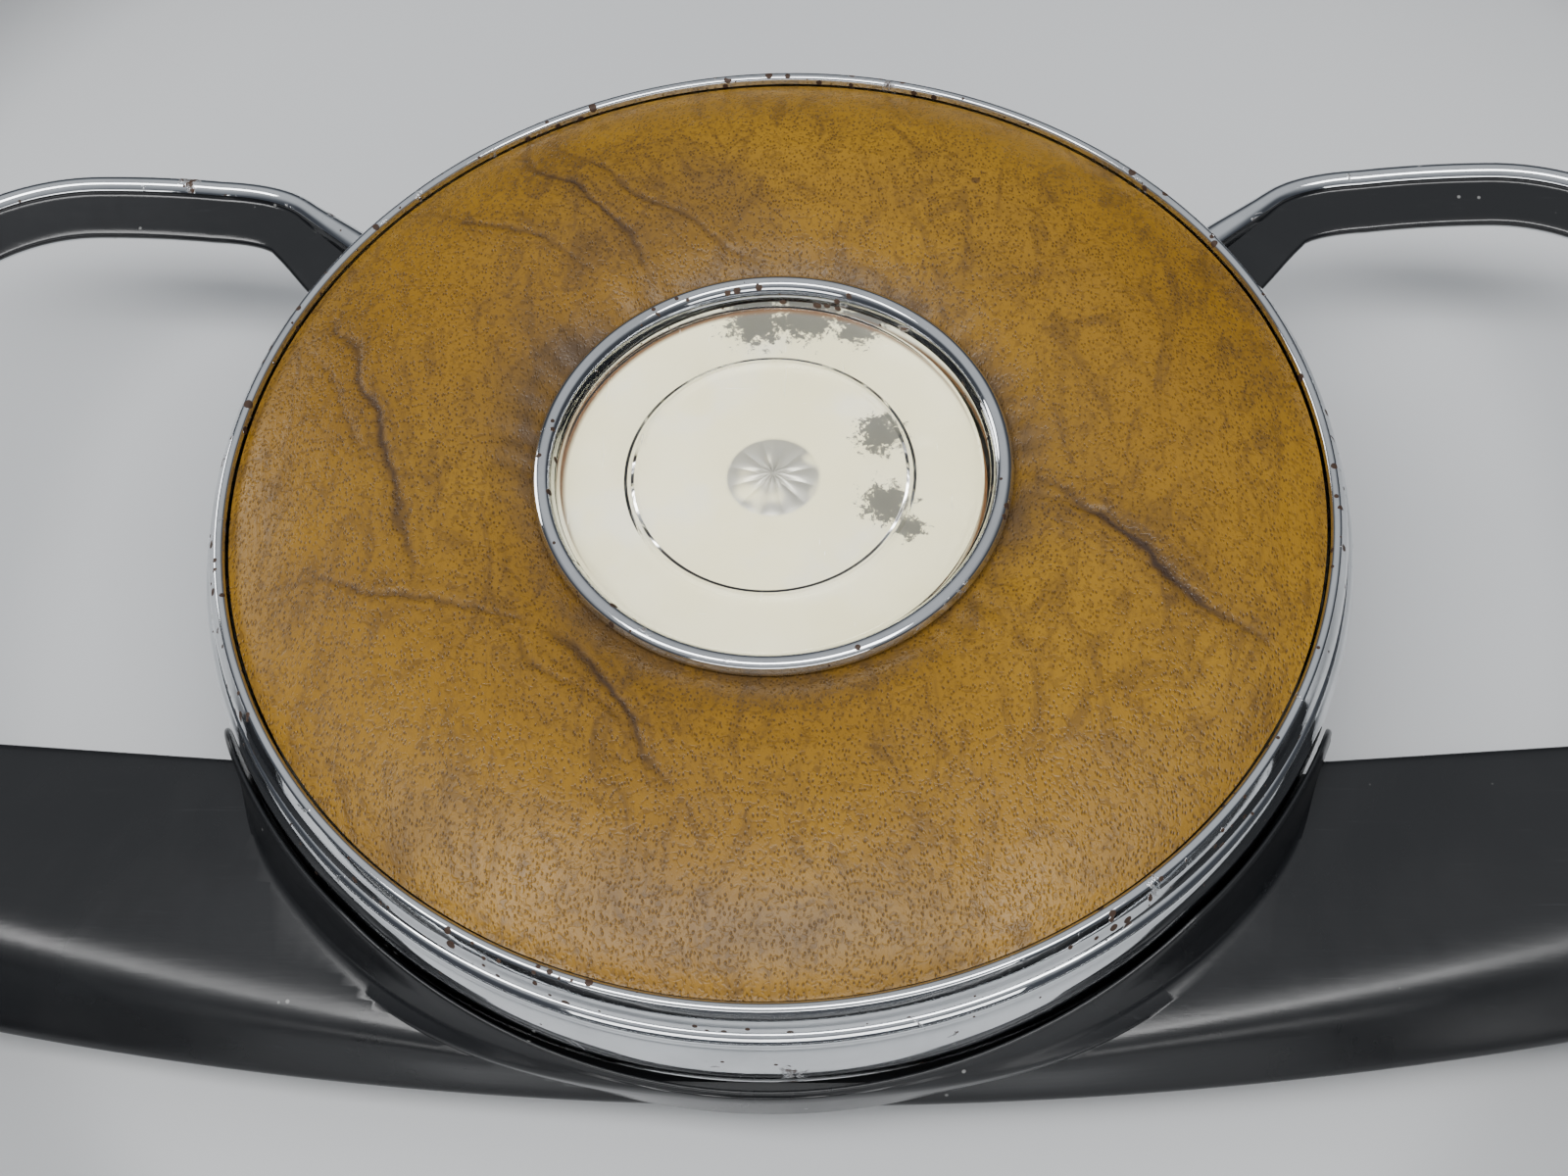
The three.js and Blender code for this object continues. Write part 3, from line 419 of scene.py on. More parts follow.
def cream_look():
    """Cream paint that flakes to bare metal, with a silver rosette and circle and a rusted edge."""
    look, tree, shader = new_look("cream_enamel", (0.77, 0.72, 0.56), 0.35)
    here = place_of(tree)
    tint = speckle(tree, here, 40.0, 4.0, 0.6)
    cream = blend_color(tree, span(tree, tint, 0.3, 0.7), (0.8, 0.75, 0.5), (0.87, 0.83, 0.62))
    haze = blend_color(tree, span(tree, speckle(tree, here, 75.0, 4.0, 0.6), 0.52, 0.7, 0.0, 0.5),
                       cream, (0.8, 0.8, 0.74))
    flake_edge = speckle(tree, here, 700.0, 6.0, 0.8, 0.3)
    flake = calc(tree, "ADD", attribute(tree, "flaked"), span(tree, flake_edge, 0.3, 0.7, -0.45, 0.4))
    flaked = blend_color(tree, span(tree, flake, 0.46, 0.54, 0.0, 0.9), haze, (0.035, 0.038, 0.042))
    silver = attribute(tree, "silver")
    silvered = blend_color(tree, calc(tree, "MULTIPLY", silver, 0.85), flaked, (0.5, 0.5, 0.5))
    feed(tree, shader, Base_Color=blend_color(tree, attribute(tree, "rusted"), silvered, (0.14, 0.065, 0.02)))
    feed(tree, shader, Metallic=calc(tree, "MULTIPLY", silver, 0.7))
    dent(tree, shader, flake_edge, 0.00006, 0.3)
    return look


def machined_look(name, tone, roughness, grain=1500.0, patina=(0.5, 0.5)):
    """Metal with turning marks: rings about the steering axis, cloudy tone and slight tarnish.

    `patina` is how dark the tarnish is, and the most of it that shows.
    """
    look, tree, shader = new_look(name, tone, roughness, 1.0)
    here = place_of(tree)
    cloud = speckle(tree, here, 90.0, 5.0, 0.65, 0.3)
    apart = node(tree, "ShaderNodeSeparateXYZ", {0: here})
    reach = node(tree, "ShaderNodeVectorMath", {0: here}, operation="LENGTH").outputs["Value"]
    rings = node(tree, "ShaderNodeCombineXYZ", {0: reach, 1: apart.outputs[2], 2: 0.0}).outputs[0]
    marks = speckle(tree, rings, grain, 3.0)
    darkness, most = patina
    dark = tuple(c * darkness for c in tone)
    feed(tree, shader, Base_Color=blend_color(tree, span(tree, cloud, 0.35, 0.75, 0.0, most), tone, dark))
    feed(tree, shader, Roughness=span(tree, cloud, 0.3, 0.7, roughness - 0.08, roughness + 0.14))
    dent(tree, shader, marks, 0.00004, 0.5)
    return look


def dull_look(name, tone, second, roughness, scale, depth):
    """A mottled matt or moulded surface in two tones."""
    look, tree, shader = new_look(name, tone, roughness)
    here = place_of(tree)
    mottle = speckle(tree, here, scale, 5.0, 0.65, 0.6)
    feed(tree, shader, Base_Color=blend_color(tree, span(tree, mottle, 0.35, 0.68), tone, second))
    feed(tree, shader, Roughness=span(tree, mottle, 0.3, 0.7, roughness - 0.06, roughness + 0.08))
    dent(tree, shader, speckle(tree, here, scale * 6, 3.0), depth, 0.5)
    return look


LEATHER = leather_look()
CHROME = chrome_look("chrome_plating", 0.35)
PITTED = chrome_look("pitted_chrome", 1.0)
MOULDING = black_look("black_moulding", 0.27, 0.6)
GLOSS_BLACK = black_look("gloss_black_paint", 0.16, 1.2)
LENS = lens_look()
CREAM = cream_look()
STEEL = machined_look("machined_steel", (0.33, 0.33, 0.34), 0.38)
ZINC = machined_look("zinc_plate", (0.5, 0.48, 0.41), 0.34, 900.0)
SPRING = machined_look("spring_steel", (0.16, 0.165, 0.17), 0.35, 2500.0)
BRASS = machined_look("contact_brass", (0.62, 0.42, 0.15), 0.3, 1800.0, patina=(0.35, 0.6))
BAKELITE = dull_look("brown_bakelite", (0.045, 0.017, 0.008), (0.075, 0.03, 0.013), 0.35, 120.0, 0.00004)
FIBRE = dull_look("red_fibre", (0.25, 0.045, 0.025), (0.16, 0.028, 0.018), 0.65, 300.0, 0.00008)
FOAM = dull_look("latex_foam", (0.7, 0.55, 0.3), (0.55, 0.4, 0.2), 0.95, 500.0, 0.0006)
INSULATION = dull_look("lead_insulation", (0.1, 0.04, 0.015), (0.06, 0.025, 0.01), 0.6, 250.0, 0.00005)

# ---------- Rim moulding: grip, spoke wing, hub and collar ----------


def grip():
    """The grip, with shallow finger scallops on its back that fade out at the spokes."""
    around, across = 480, 40
    scallops, depth = 54, 0.7
    inward_tilt = 0.35  # radians by which the scallops face the wheel's middle
    spoke_y = -34
    junction = math.atan2(spoke_y, SPOKE_END)
    sections = []
    for i in range(around):
        phi = 2 * math.pi * i / around
        near = min(abs(math.remainder(phi - junction, 2 * math.pi)),
                   abs(math.remainder(phi - (math.pi - junction), 2 * math.pi)))
        fade = smoothstep(0.1, 0.2, near)
        wave = (0.5 + 0.5 * math.cos(scallops * phi)) * fade * depth
        section = []
        for k in range(across):
            psi = 2 * math.pi * k / across
            back = smoothstep(0.1, 0.8, -math.sin(psi + inward_tilt))
            r = GRIP_R - wave * back
            reach = RIM_R + r * math.cos(psi)
            section.append((reach * math.cos(phi), reach * math.sin(phi), RIM_Z + r * math.sin(psi)))
        sections.append(section[::-1])
    return skin("moulding", sections, [MOULDING], closed_path=True)


def spoke_wing():
    """The bar of both spokes in one, with a ridge along it. It climbs and widens where it meets the grip."""
    steps = 180
    upper_y, upper_slope = -32.3, 0.0726
    lower_y, lower_bend = -76.8, 0.0009
    climb, climb_start = 14, 140
    root_length, root_wider, root_fuller = 16, 3.5, 1.5
    hub_fuller, fuller_end = 5, 120
    # The ridge's place between the upper edge and the lower: it moves down towards the hub, within two limits.
    ridge_high, ridge_low, ridge_normal, normal_side, ridge_slope = 0.62, 0.92, 0.75, 98, 0.0028
    sections = []
    for i in range(steps + 1):
        x = -SPOKE_END + 2 * SPOKE_END * i / steps
        side = abs(x)
        upper = upper_y + max(0, side - HUB_WALL_R) * upper_slope
        lower = lower_y + lower_bend * x * x
        top_z = SPOKE_TOP + climb * smoothstep(climb_start, SPOKE_END - 3, side)
        root = smoothstep(SPOKE_END - root_length, SPOKE_END + 2, side)
        upper += root_wider * root
        lower -= root_wider * root
        fuller = hub_fuller * (1 - smoothstep(HUB_WALL_R, fuller_end, side)) + root_fuller * root
        ridge_share = ridge_normal + (normal_side - side) * ridge_slope
        ridge_share = min(ridge_low, max(ridge_high, ridge_share))
        ridge = upper + (lower - upper) * ridge_share
        middle_y = (upper + ridge) / 2
        outline = [
            (upper, top_z - 5.2), (upper - 0.1, top_z - 0.6), (upper - 0.9, top_z + 0.1),
            (middle_y, top_z + 0.55), (ridge + 3, top_z + 0.15), (ridge - 1.2, top_z - 1.2),
            (lower + 1.1, top_z - 7.2), (lower, top_z - 8.8), (lower + 0.8, top_z - 10),
            (lower + 9, top_z - 10.4 - fuller), (upper - 9, top_z - 9.5 - fuller), (upper - 1, top_z - 7.6),
        ]
        sections.append([(x, y, z) for y, z in fillet(outline, 2.6, 4)][::-1])
    wing = skin("wing", sections, [MOULDING])
    below, above = -5, 60  # the cutter passes both faces of the bar
    inside = [
        (0, below), (OPENING_R, below), (OPENING_R, BOWL_FLOOR), (BOWL_R, BOWL_FLOOR), (BOWL_R, SHELF_Z),
        (COLLAR_IN, SHELF_Z), (COLLAR_IN, above), (0, above),
    ]
    return merge(wing, turned("inside", inside, MOULDING, round_by=0), "DIFFERENCE")


def collar():
    """The lip that cradles the horn ring's hub over the lower half, with a finger-like tip at each end."""
    steps = 240
    start, end = math.pi + COLLAR_END, 2 * math.pi - COLLAR_END
    base, shoulder = 17, 24.4
    tip_angle, tip_low = 0.09, 24.6
    front, rise, highest = 25.4, 0.33, 32
    sections = []
    for i in range(steps + 1):
        a = start + (end - start) * i / steps
        y = COLLAR_IN * math.sin(a)
        from_end = min(a - start, end - a)
        tip = math.sqrt(1 - (1 - min(1, from_end / tip_angle)) ** 2)
        high = min(highest, front + rise * (y + COLLAR_IN))
        lip = tip_low + (high - tip_low) * (0.25 + 0.75 * tip)
        flare = smoothstep(0.1, 0.7, abs(math.cos(a))) * smoothstep(0.04, 0.3, from_end)
        outline = [
            (COLLAR_IN, base), (COLLAR_IN, lip - 0.4), (COLLAR_IN + 0.25, lip),
            (COLLAR_OUT - 0.3, lip - 0.05), (COLLAR_OUT, lip - 0.7),
            (COLLAR_OUT + 0.1 + 0.7 * flare, shoulder + 0.5 * (lip - shoulder)),
            (COLLAR_OUT + 0.2 + 1.9 * flare, 25), (COLLAR_OUT + 0.3 + 4.2 * flare, 23.9),
            (COLLAR_OUT + 0.1 + 4.2 * flare, 22), (COLLAR_OUT - 0.5, base),
        ]
        sections.append([(r * math.cos(a), r * math.sin(a), z) for r, z in fillet(outline, 0.5, 2)][::-1])
    return skin("collar", sections, [MOULDING])


def hub_shell():
    """The moulded bowl behind the horn ring, with a skirt that reaches nearly to the floor."""
    inner = SKIRT_R - 3
    skirt_z = 0.01
    profile = [
        (OPENING_R, HUB_BACK), (inner, HUB_BACK), (inner, skirt_z), (SKIRT_R, skirt_z), (SKIRT_R, HUB_BACK),
        (HUB_WALL_R - 6, HUB_BACK), (HUB_WALL_R - 1.5, HUB_BACK + 2.5), (HUB_WALL_R, HUB_BACK + 6),
        (HUB_WALL_R, SHELF_Z), (BOWL_R, SHELF_Z), (BOWL_R, BOWL_FLOOR), (OPENING_R, BOWL_FLOOR),
    ]
    return turned("hub", profile, MOULDING, 240, 0.8)


moulding = grip()
for part in (spoke_wing(), hub_shell(), collar()):
    merge(moulding, part)
place(moulding, "wheel", "black_moulding", "rim_moulding")

# ---------- Horn ring: deep chrome hub, and a band with a chrome bead and a black inner slope ----------


def band_path():
    """The band's middle line as (x, y), from its right-hand root, round the bottom, to the left-hand root."""
    run = BAND_OUTER - HALF_BAND
    flat_y, shoulder = 55.7, 30  # the straight run's height, and the radius of the corner after it
    centre_y = flat_y - shoulder
    centre_x = math.sqrt((run - shoulder) ** 2 - centre_y ** 2)
    touch = math.atan2(centre_y, centre_x)
    root_angle = math.radians(33.5)
    root_r = HUB_R - 3.2
    root = Vector((root_r * math.cos(root_angle), root_r * math.sin(root_angle)))
    elbow = Vector((HUB_R * 0.945, flat_y - 4.8))
    start = Vector((elbow.x + 12, flat_y - 1.2))
    right = [root.lerp(elbow, t / 8) for t in range(8)]
    for a, b, c, steps in (
        (elbow, elbow + Vector((3.2, 3)), start, 14),
        (start, Vector(((start.x + centre_x) / 2, flat_y)), Vector((centre_x, flat_y)), 12),
    ):
        for t in np.linspace(0, 1, steps, endpoint=False):
            right.append(a * (1 - t) ** 2 + b * (2 * t * (1 - t)) + c * t ** 2)
    for angle in np.linspace(math.pi / 2, touch, 36, endpoint=False):
        right.append(Vector((centre_x + shoulder * math.cos(angle), centre_y + shoulder * math.sin(angle))))
    for angle in np.linspace(touch, -math.pi / 2, 130):
        right.append(Vector((run * math.cos(angle), run * math.sin(angle))))
    left = [Vector((-p.x, p.y)) for p in right[-2::-1]]
    return right + left


def horn_band():
    """The band along its path: a chrome bead outside, a black slope inside, and roots that flare."""
    w = HALF_BAND
    outline = [
        (w - 1.2, BAND_BOTTOM), (w, BAND_BOTTOM + 1.4), (w, BAND_TOP - 1.3), (w - 0.9, BAND_TOP - 0.1),
        (w - 2.1, BAND_TOP), (w - 3, BAND_TOP - 0.9), (w - 3.2, BAND_TOP - 1.5), (-w + 1, BAND_TOP - 3.3),
        (-w + 0.1, BAND_TOP - 3.8), (-w + 0.3, BAND_TOP - 4.6), (-w + 1.2, BAND_BOTTOM + 0.2),
    ]
    rounded = fillet(outline, 0.55, 3)
    dark = [int(s < w - 2.9 and z > BAND_TOP - 4.3) for s, z in rounded]
    path = band_path()
    sections = []
    for i, here in enumerate(path):
        along = (path[min(i + 1, len(path) - 1)] - path[max(i - 1, 0)]).normalized()
        out = Vector((-along.y, along.x))
        from_end = min(i, len(path) - 1 - i)
        flare = 1 - smoothstep(1, 9, from_end)
        section = []
        for s, z in rounded:
            wide = s * (1 + 0.3 * flare)
            deep = z - (1.6 * flare if z < BAND_TOP - 1.4 else 0.3 * flare)
            section.append((here.x + out.x * wide, here.y + out.y * wide, deep))
        sections.append(section)
    return skin("band", sections, [CHROME, GLOSS_BLACK], outline_looks=dark)


def horn_hub():
    """The deep ring round the pad, with a flange inward that the carrier plate is screwed to."""
    r = HUB_R
    inner, flange_inner = 73.6, 60
    low = HUB_BOTTOM
    flange_top = low + 3.4
    profile = [
        (flange_inner, low + 0.4), (r - 2.2, low), (r - 0.9, low + 0.3), (r - 0.3, low + 1.6),
        (r - 0.03, low + 4), (r, low + 8), (r - 0.2, HUB_TOP - 3.2), (r - 0.75, HUB_TOP - 1.2),
        (r - 1.6, HUB_TOP - 0.2), (r - 2.3, HUB_TOP), (inner, HUB_TOP), (inner, flange_top),
        (flange_inner, flange_top),
    ]
    return turned("horn_ring_plated", profile, CHROME, 280, 0.7)


horn_ring = horn_hub()
horn_ring.data.materials.append(GLOSS_BLACK)
merge(horn_ring, horn_band())
place(horn_ring, "horn", "chrome", "horn_ring")

# ---------- Pad: leather crown and the trim ring round it ----------
# Height of the leather above the trim ring's lip, against the distance from the axis.
CROWN_R = [30.2, 32, 34.5, 38, 43, 50, 55, 59, 62.5, 66, 69, 71.2, 72.7]
CROWN_H = [1.5, 2.0, 3.1, 4.2, 4.9, 5.0, 4.6, 3.9, 3.05, 1.95, 0.75, -0.3, -1.3]

# Creases of the worn leather, each a shallow arc. It starts at an azimuth in degrees and a distance from the
# axis. Then come its heading and how far it turns, in degrees, and its length, width and depth.
CREASES = [
    (125, 70, -35, -25, 35, 0.7, 0.3),
    (120, 68, -45, 15, 40, 0.6, 0.22),
    (140, 72, -20, -10, 35, 0.6, 0.2),
    (155, 70, -60, -20, 55, 0.7, 0.3),
    (160, 70, -65, 10, 35, 0.5, 0.15),
    (195, 70, -5, -10, 40, 0.6, 0.22),
    (220, 38, -40, -25, 30, 0.8, 0.3),
    (215, 42, -45, 10, 30, 0.6, 0.15),
    (0, 34, -50, 15, 40, 0.8, 0.34),
    (355, 32, -20, -40, 30, 0.6, 0.2),
    (130, 38, -135, 25, 25, 0.6, 0.1),
    (55, 37, -5, 20, 25, 0.6, 0.08),
]
CREASE_STEPS = 5

# Dirt on the leather: its middle, its reach along x and y, and its strength.
DIRT = [
    ((-31, 14), (9, 15), 0.65),
    ((-18, 44), (16, 9), 0.5),
    ((0, -65), (16, 4), 0.5),
    ((36, 2), (9, 12), 0.3),
]


def crease_points(azimuth, distance, heading, bend, length):
    """The arc's corners as (x, y), one per step, from where it starts."""
    spot = distance * Vector((math.cos(math.radians(azimuth)), math.sin(math.radians(azimuth))))
    corners = [spot]
    for i in range(CREASE_STEPS):
        turn = math.radians(heading + bend * (i + 0.5) / CREASE_STEPS)
        spot = spot + length / CREASE_STEPS * Vector((math.cos(turn), math.sin(turn)))
        corners.append(spot)
    return corners


def crease_fields(x, y):
    """How deep each point lies in the creases, in millimetres, and how much painted shade the creases get
    there.
    """
    depth = np.zeros_like(x)
    shade = np.zeros_like(x)
    for *arc, width, deep in CREASES:
        points = crease_points(*arc)
        best = np.full_like(x, 1e9)
        along_at = np.zeros_like(x)
        total = len(points) - 1
        for i in range(total):
            (ax, ay), (bx, by) = points[i], points[i + 1]
            dx, dy = bx - ax, by - ay
            t = np.clip(((x - ax) * dx + (y - ay) * dy) / (dx * dx + dy * dy), 0, 1)
            gap = np.hypot(x - ax - t * dx, y - ay - t * dy)
            near = gap < best
            best = np.where(near, gap, best)
            along_at = np.where(near, (i + t) / total, along_at)
        fade = np.sin(np.clip(along_at, 0.0, 1.0) * math.pi) ** 0.5
        valley = np.exp(-(best / width) ** 2)
        banks = np.exp(-((best - 2.6 * width) / (1.5 * width)) ** 2)
        ripple = np.cos(best * 2 * math.pi / 1.7) * np.exp(-(best / 5) ** 2) * fade
        depth += deep * (fade * (0.7 * valley - 0.1 * banks) + 0.13 * ripple)
        # Painted shade: dark lines along each crease and its ripples, and a wider dim band round it.
        lines = (0.4 * np.clip(ripple, 0, 1) + 0.75 * fade * np.exp(-(best / (0.9 * width)) ** 2)
                 + 0.3 * fade * np.exp(-(best / 4.5) ** 2))
        shade = np.maximum(shade, lines * min(1, deep * 2.6))
    return depth, shade


def grid_noise(x, y, scale, seed):
    return np.array([noise.noise(Vector((a * scale, b * scale, seed))) for a, b in zip(x, y)])


def leather_dirt(x, y, r):
    """Dirt round the badge ring and in the patches of DIRT."""
    dirt = np.exp(-((r - 31) / 4.5) ** 2) * 0.9
    for (at_x, at_y), (reach_x, reach_y), strength in DIRT:
        dirt += strength * np.exp(-(((x - at_x) / reach_x) ** 2 + ((y - at_y) / reach_y) ** 2))
    return np.clip(dirt, 0, 1)


def leather_pad():
    """The stuffed cover: a crown with soft waves, creases, and puckers by the badge, on a plain underside."""
    around, rows = 800, 120
    inner, outer = CROWN_R[0], CROWN_R[-1]
    reach = np.linspace(inner, outer, rows)
    height = np.interp(reach, CROWN_R, CROWN_H)
    kernel = np.hanning(9) / np.hanning(9).sum()
    height = np.convolve(np.pad(height, 4, mode="edge"), kernel, mode="valid")
    angle = np.linspace(0, 2 * math.pi, around, endpoint=False)
    r, a = (m.ravel() for m in np.meshgrid(reach, angle, indexing="ij"))
    z = np.repeat(height, around)
    x, y = r * np.cos(a), r * np.sin(a)
    warp_x = x + 2.2 * grid_noise(x, y, 0.11, 3.1) + 0.5 * grid_noise(x, y, 0.5, 6.1)
    warp_y = y + 2.2 * grid_noise(x, y, 0.11, 8.7) + 0.5 * grid_noise(x, y, 0.5, 7.3)
    depth, shade = crease_fields(warp_x, warp_y)
    hold = np.clip((outer - r) / 5, 0, 1) * np.clip((r - inner) / 2, 0, 1)
    waves = 0.45 * grid_noise(x, y, 0.035, 1.7) + 0.2 * grid_noise(x, y, 0.09, 5.3)
    near_badge = np.exp(-((r - 34) / 5) ** 2)
    folds = np.sin(a * 41 + 5 * grid_noise(x, y, 0.08, 2.2)) * (0.5 + grid_noise(x, y, 0.06, 9.4))
    z = z + LIP_Z + hold * (waves - depth) + near_badge * 0.16 * folds * hold
    points = list(zip(x, y, z))
    under = [(outer - 0.6, -1.6), (outer - 1.6, -2.6), (outer - 3, -2.4), (40, -0.5), (inner + 0.4, -0.5)]
    for under_r, drop in under:
        points += [(under_r * math.cos(t), under_r * math.sin(t), LIP_Z + drop) for t in angle]
    total = rows + len(under)
    faces = []
    for i in range(total):
        j = (i + 1) % total
        for k in range(around):
            n = (k + 1) % around
            faces.append((i * around + k, j * around + k, j * around + n, i * around + n))
    cover = new_piece("leather_pad", points, faces, [LEATHER], sharp=75)
    # The creases' painted shade, which darkens the leather's colour.
    add_layer(cover, "crease_shade", shade)
    add_layer(cover, "dirt", leather_dirt(x, y, r))
    return cover


pad = leather_pad()
place(pad, "horn", "pad_leather", "pad_leather")

trim = turned("trim_ring", [
    (72.95, HUB_TOP + 0.3), (TRIM_R - 0.25, HUB_TOP + 0.3), (TRIM_R, HUB_TOP + 0.9),
    (TRIM_R - 0.1, LIP_Z - 2.6), (TRIM_R - 0.5, LIP_Z - 1.3), (TRIM_R - 1.1, LIP_Z - 0.45),
    (74.3, LIP_Z + 0.1), (73.65, LIP_Z + 0.2), (73.15, LIP_Z - 0.15), (73, LIP_Z - 1),
], PITTED, 280, 0.3)
place(trim, "horn", "chrome", "pad_trim_ring")

# ---------- Badge: ring, lens and painted disc ----------
badge_ring = turned("badge_bezel", [
    (LENS_R + 0.3, LIP_Z - 2.6), (LENS_R + 1.5, LIP_Z - 2.6), (BADGE_R - 1.6, LIP_Z + 1.2),
    (BADGE_R - 0.25, LIP_Z + 2.2), (BADGE_R, BADGE_TOP - 1.4), (BADGE_R - 0.35, BADGE_TOP - 0.45),
    (BADGE_R - 1.1, BADGE_TOP), (BADGE_R - 2, BADGE_TOP - 0.15), (BADGE_R - 2.55, BADGE_TOP - 0.8),
    (LENS_R + 0.3, BADGE_TOP - 2),
], PITTED, 220, 0.35)
place(badge_ring, "horn", "chrome", "badge_ring")

CIRCLE_R = 18.7  # the circle engraved in the lens's back
CIRCLE_DEPTH = 0.55
LENS_BACK = LENS_TOP - 1.7
LENS_SHIFT = (-0.35, -0.3)
lens = turned("lens_clear", [
    (0, LENS_BACK), (CIRCLE_R - 0.7, LENS_BACK), (CIRCLE_R - 0.2, LENS_BACK + CIRCLE_DEPTH),
    (CIRCLE_R + 0.2, LENS_BACK + CIRCLE_DEPTH), (CIRCLE_R + 0.7, LENS_BACK), (LENS_R - 0.3, LENS_BACK),
    (LENS_R - 0.1, LENS_TOP - 0.5),
    (LENS_R - 0.6, LENS_TOP - 0.12), (0, LENS_TOP),
], LENS, 200, 0.12, at=LENS_SHIFT)
place(lens, "horn", "lens_acrylic", "badge_lens")
lens.visible_shadow = False


# Where the paint has flaked: middle and spread.
FLAKED = [(14, 7, 2.5), (15, -4, 2.5), (18, -8, 1.5), (-3, 26.5, 3.5), (4, 26.5, 3), (11, 25, 2.5)]


def painted_disc():
    """The cream disc, with a low ring under the engraved circle and a small fluted rosette in the middle."""
    around, rows = 288, 90
    flutes, rosette_r, rosette_height = 12, 6.2, 0.75
    boss_r, boss_height = 1.9, 0.25
    ring_height = 0.3
    hole_r, flat = 0.25, BACKING_Z + 0.5
    points, silver, rusted, flaked = [], [], [], []
    for r in np.linspace(hole_r, LENS_R, rows):
        for k in range(around):
            a = 2 * math.pi * k / around
            x, y = r * math.cos(a), r * math.sin(a)
            petal = max(0, 1 - (r / rosette_r) ** 2) ** 0.6
            flute = 0.5 + 0.5 * abs(math.cos(flutes * a / 2))
            boss = max(0, 1 - (r / boss_r) ** 2) ** 0.5
            ring = math.exp(-((r - CIRCLE_R) / 0.42) ** 2)
            z = flat + rosette_height * petal * flute + boss_height * boss + ring_height * ring
            points.append((x, y, z))
            worn = noise.noise(Vector((x * 0.35, y * 0.35, 4.4)))
            silver.append(min(1, max(0, (rosette_r + 0.1 - r) * 3)) * smoothstep(-0.7, -0.1, worn)
                          + 0.35 * ring * smoothstep(-0.1, 0.3, worn))
            rusted.append(smoothstep(LENS_R - 0.9, LENS_R - 0.4, r))
            flaked.append(max(math.exp(-((x - px) ** 2 + (y - py) ** 2) / (2 * spread * spread))
                              for px, py, spread in FLAKED))
    for under_r in (LENS_R, hole_r):
        turns = [2 * math.pi * k / around for k in range(around)]
        points += [(under_r * math.cos(a), under_r * math.sin(a), BACKING_Z) for a in turns]
    faces = []
    for i in range(rows + 1):
        for k in range(around):
            n = (k + 1) % around
            faces.append((i * around + k, (i + 1) * around + k, (i + 1) * around + n, i * around + n))
    faces.append(tuple(range(around)))
    faces.append(tuple(range((rows + 1) * around, (rows + 2) * around))[::-1])
    disc = new_piece("painted_disc", points, faces, [CREAM], sharp=60)
    for name, values in (("silver", silver), ("rusted", rusted), ("flaked", flaked)):
        add_layer(disc, name, values)
    return disc


place(painted_disc(), "horn", "cream_paint", "badge_backing")

# ---------- Small parts ----------
SLOT_OF = {row["node"]: row["material_slot"] for row in frame["record"]["subparts"]}
REAR_SCREWS = [f"rear_screw_{i}" for i in (1, 2, 3)]
SLIP_OUT = radius("slip_ring")
SLIP_IN = SLIP_OUT - 4


def middle(node_name):
    low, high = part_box(node_name)
    return (low.x + high.x) / 2 / MM, (low.y + high.y) / 2 / MM


def prism(name, outline, low, high, look):
    """An upright prism on an anticlockwise (x, y) outline."""
    return skin(name, [[(x, y, z) for x, y in outline] for z in (low, high)], [look])


def peg(r, low, high, at, look, segments=40):
    return turned("peg", [(0, low), (r, low), (r, high), (0, high)], look, segments, 0, at)


def cut_slot(screw, at, half_length, half_width, low, high, turn):
    """Cuts a screwdriver's slot, turned by `turn` radians, and clears away the cutter."""
    c, s = math.cos(turn), math.sin(turn)
    u, v = half_length, half_width
    square = [(-u, -v), (u, -v), (u, v), (-u, v)]
    corners = [(at[0] + c * p - s * q, at[1] + s * p + c * q) for p, q in square]
    merge(screw, prism("slot", corners, low, high, ZINC), "DIFFERENCE")


def ring(name, inner, outer, low, high, look, segments, round_by, at=(0, 0)):
    profile = [(inner, low), (outer, low), (outer, high), (inner, high)]
    return turned(name, profile, look, segments, round_by, at)


def steel_boss():
    """The hub boss with its splined bore, nut recess and riveted flange."""
    low, high = bottom("hub_boss"), top("hub_boss")
    boss_r, flange_r, flange_low, flange_top = 18, 30, 6.3, 9
    boss = turned("hub_boss_turned", [
        (0, low), (boss_r - 0.8, low), (boss_r, low + 0.8), (boss_r, flange_low), (flange_r, flange_low),
        (flange_r, flange_top), (boss_r, flange_top), (boss_r, high - 1), (boss_r - 1, high), (0, high),
    ], STEEL, 160, 0.25)
    splines, root_r, spline_height, steps_each = 18, 8.2, 0.8, 12
    teeth = []
    for i in range(splines * steps_each):
        a = 2 * math.pi * i / (splines * steps_each)
        rise = smoothstep(-0.45, 0.45, math.cos(splines * a))
        reach = root_r + spline_height * rise
        teeth.append((reach * math.cos(a), reach * math.sin(a)))
    merge(boss, prism("teeth", teeth, low - 1, high + 1, STEEL), "DIFFERENCE")
    lead_in = [(0, low - 1), (10.4, low - 1), (8, low + 1.4), (0, low + 1.4)]
    merge(boss, turned("lead_in", lead_in, STEEL, 80, 0), "DIFFERENCE")
    seat, recess_r = 20, 13
    recess = [(0, seat), (recess_r - 0.4, seat), (recess_r, seat + 0.4), (recess_r, high + 1), (0, high + 1)]
    merge(boss, turned("recess", recess, STEEL, 120, 0.2), "DIFFERENCE")
    rivets = [f"hub_rivet_{i}" for i in (1, 2, 3, 4)]
    for name in rivets:
        head = top(name)
        profile = [
            (0, flange_low - 0.5), (2.6, flange_low - 0.5), (3, flange_low + 0.3), (2, flange_low + 1),
            (2, head - 1.4), (3.4, head - 1.4), (2.8, head - 0.4), (1.4, head), (0, head),
        ]
        merge(boss, turned("rivet", profile, STEEL, 32, 0.2, middle(name)))
    place(boss, "wheel", "core_steel", "hub_boss", *rivets)


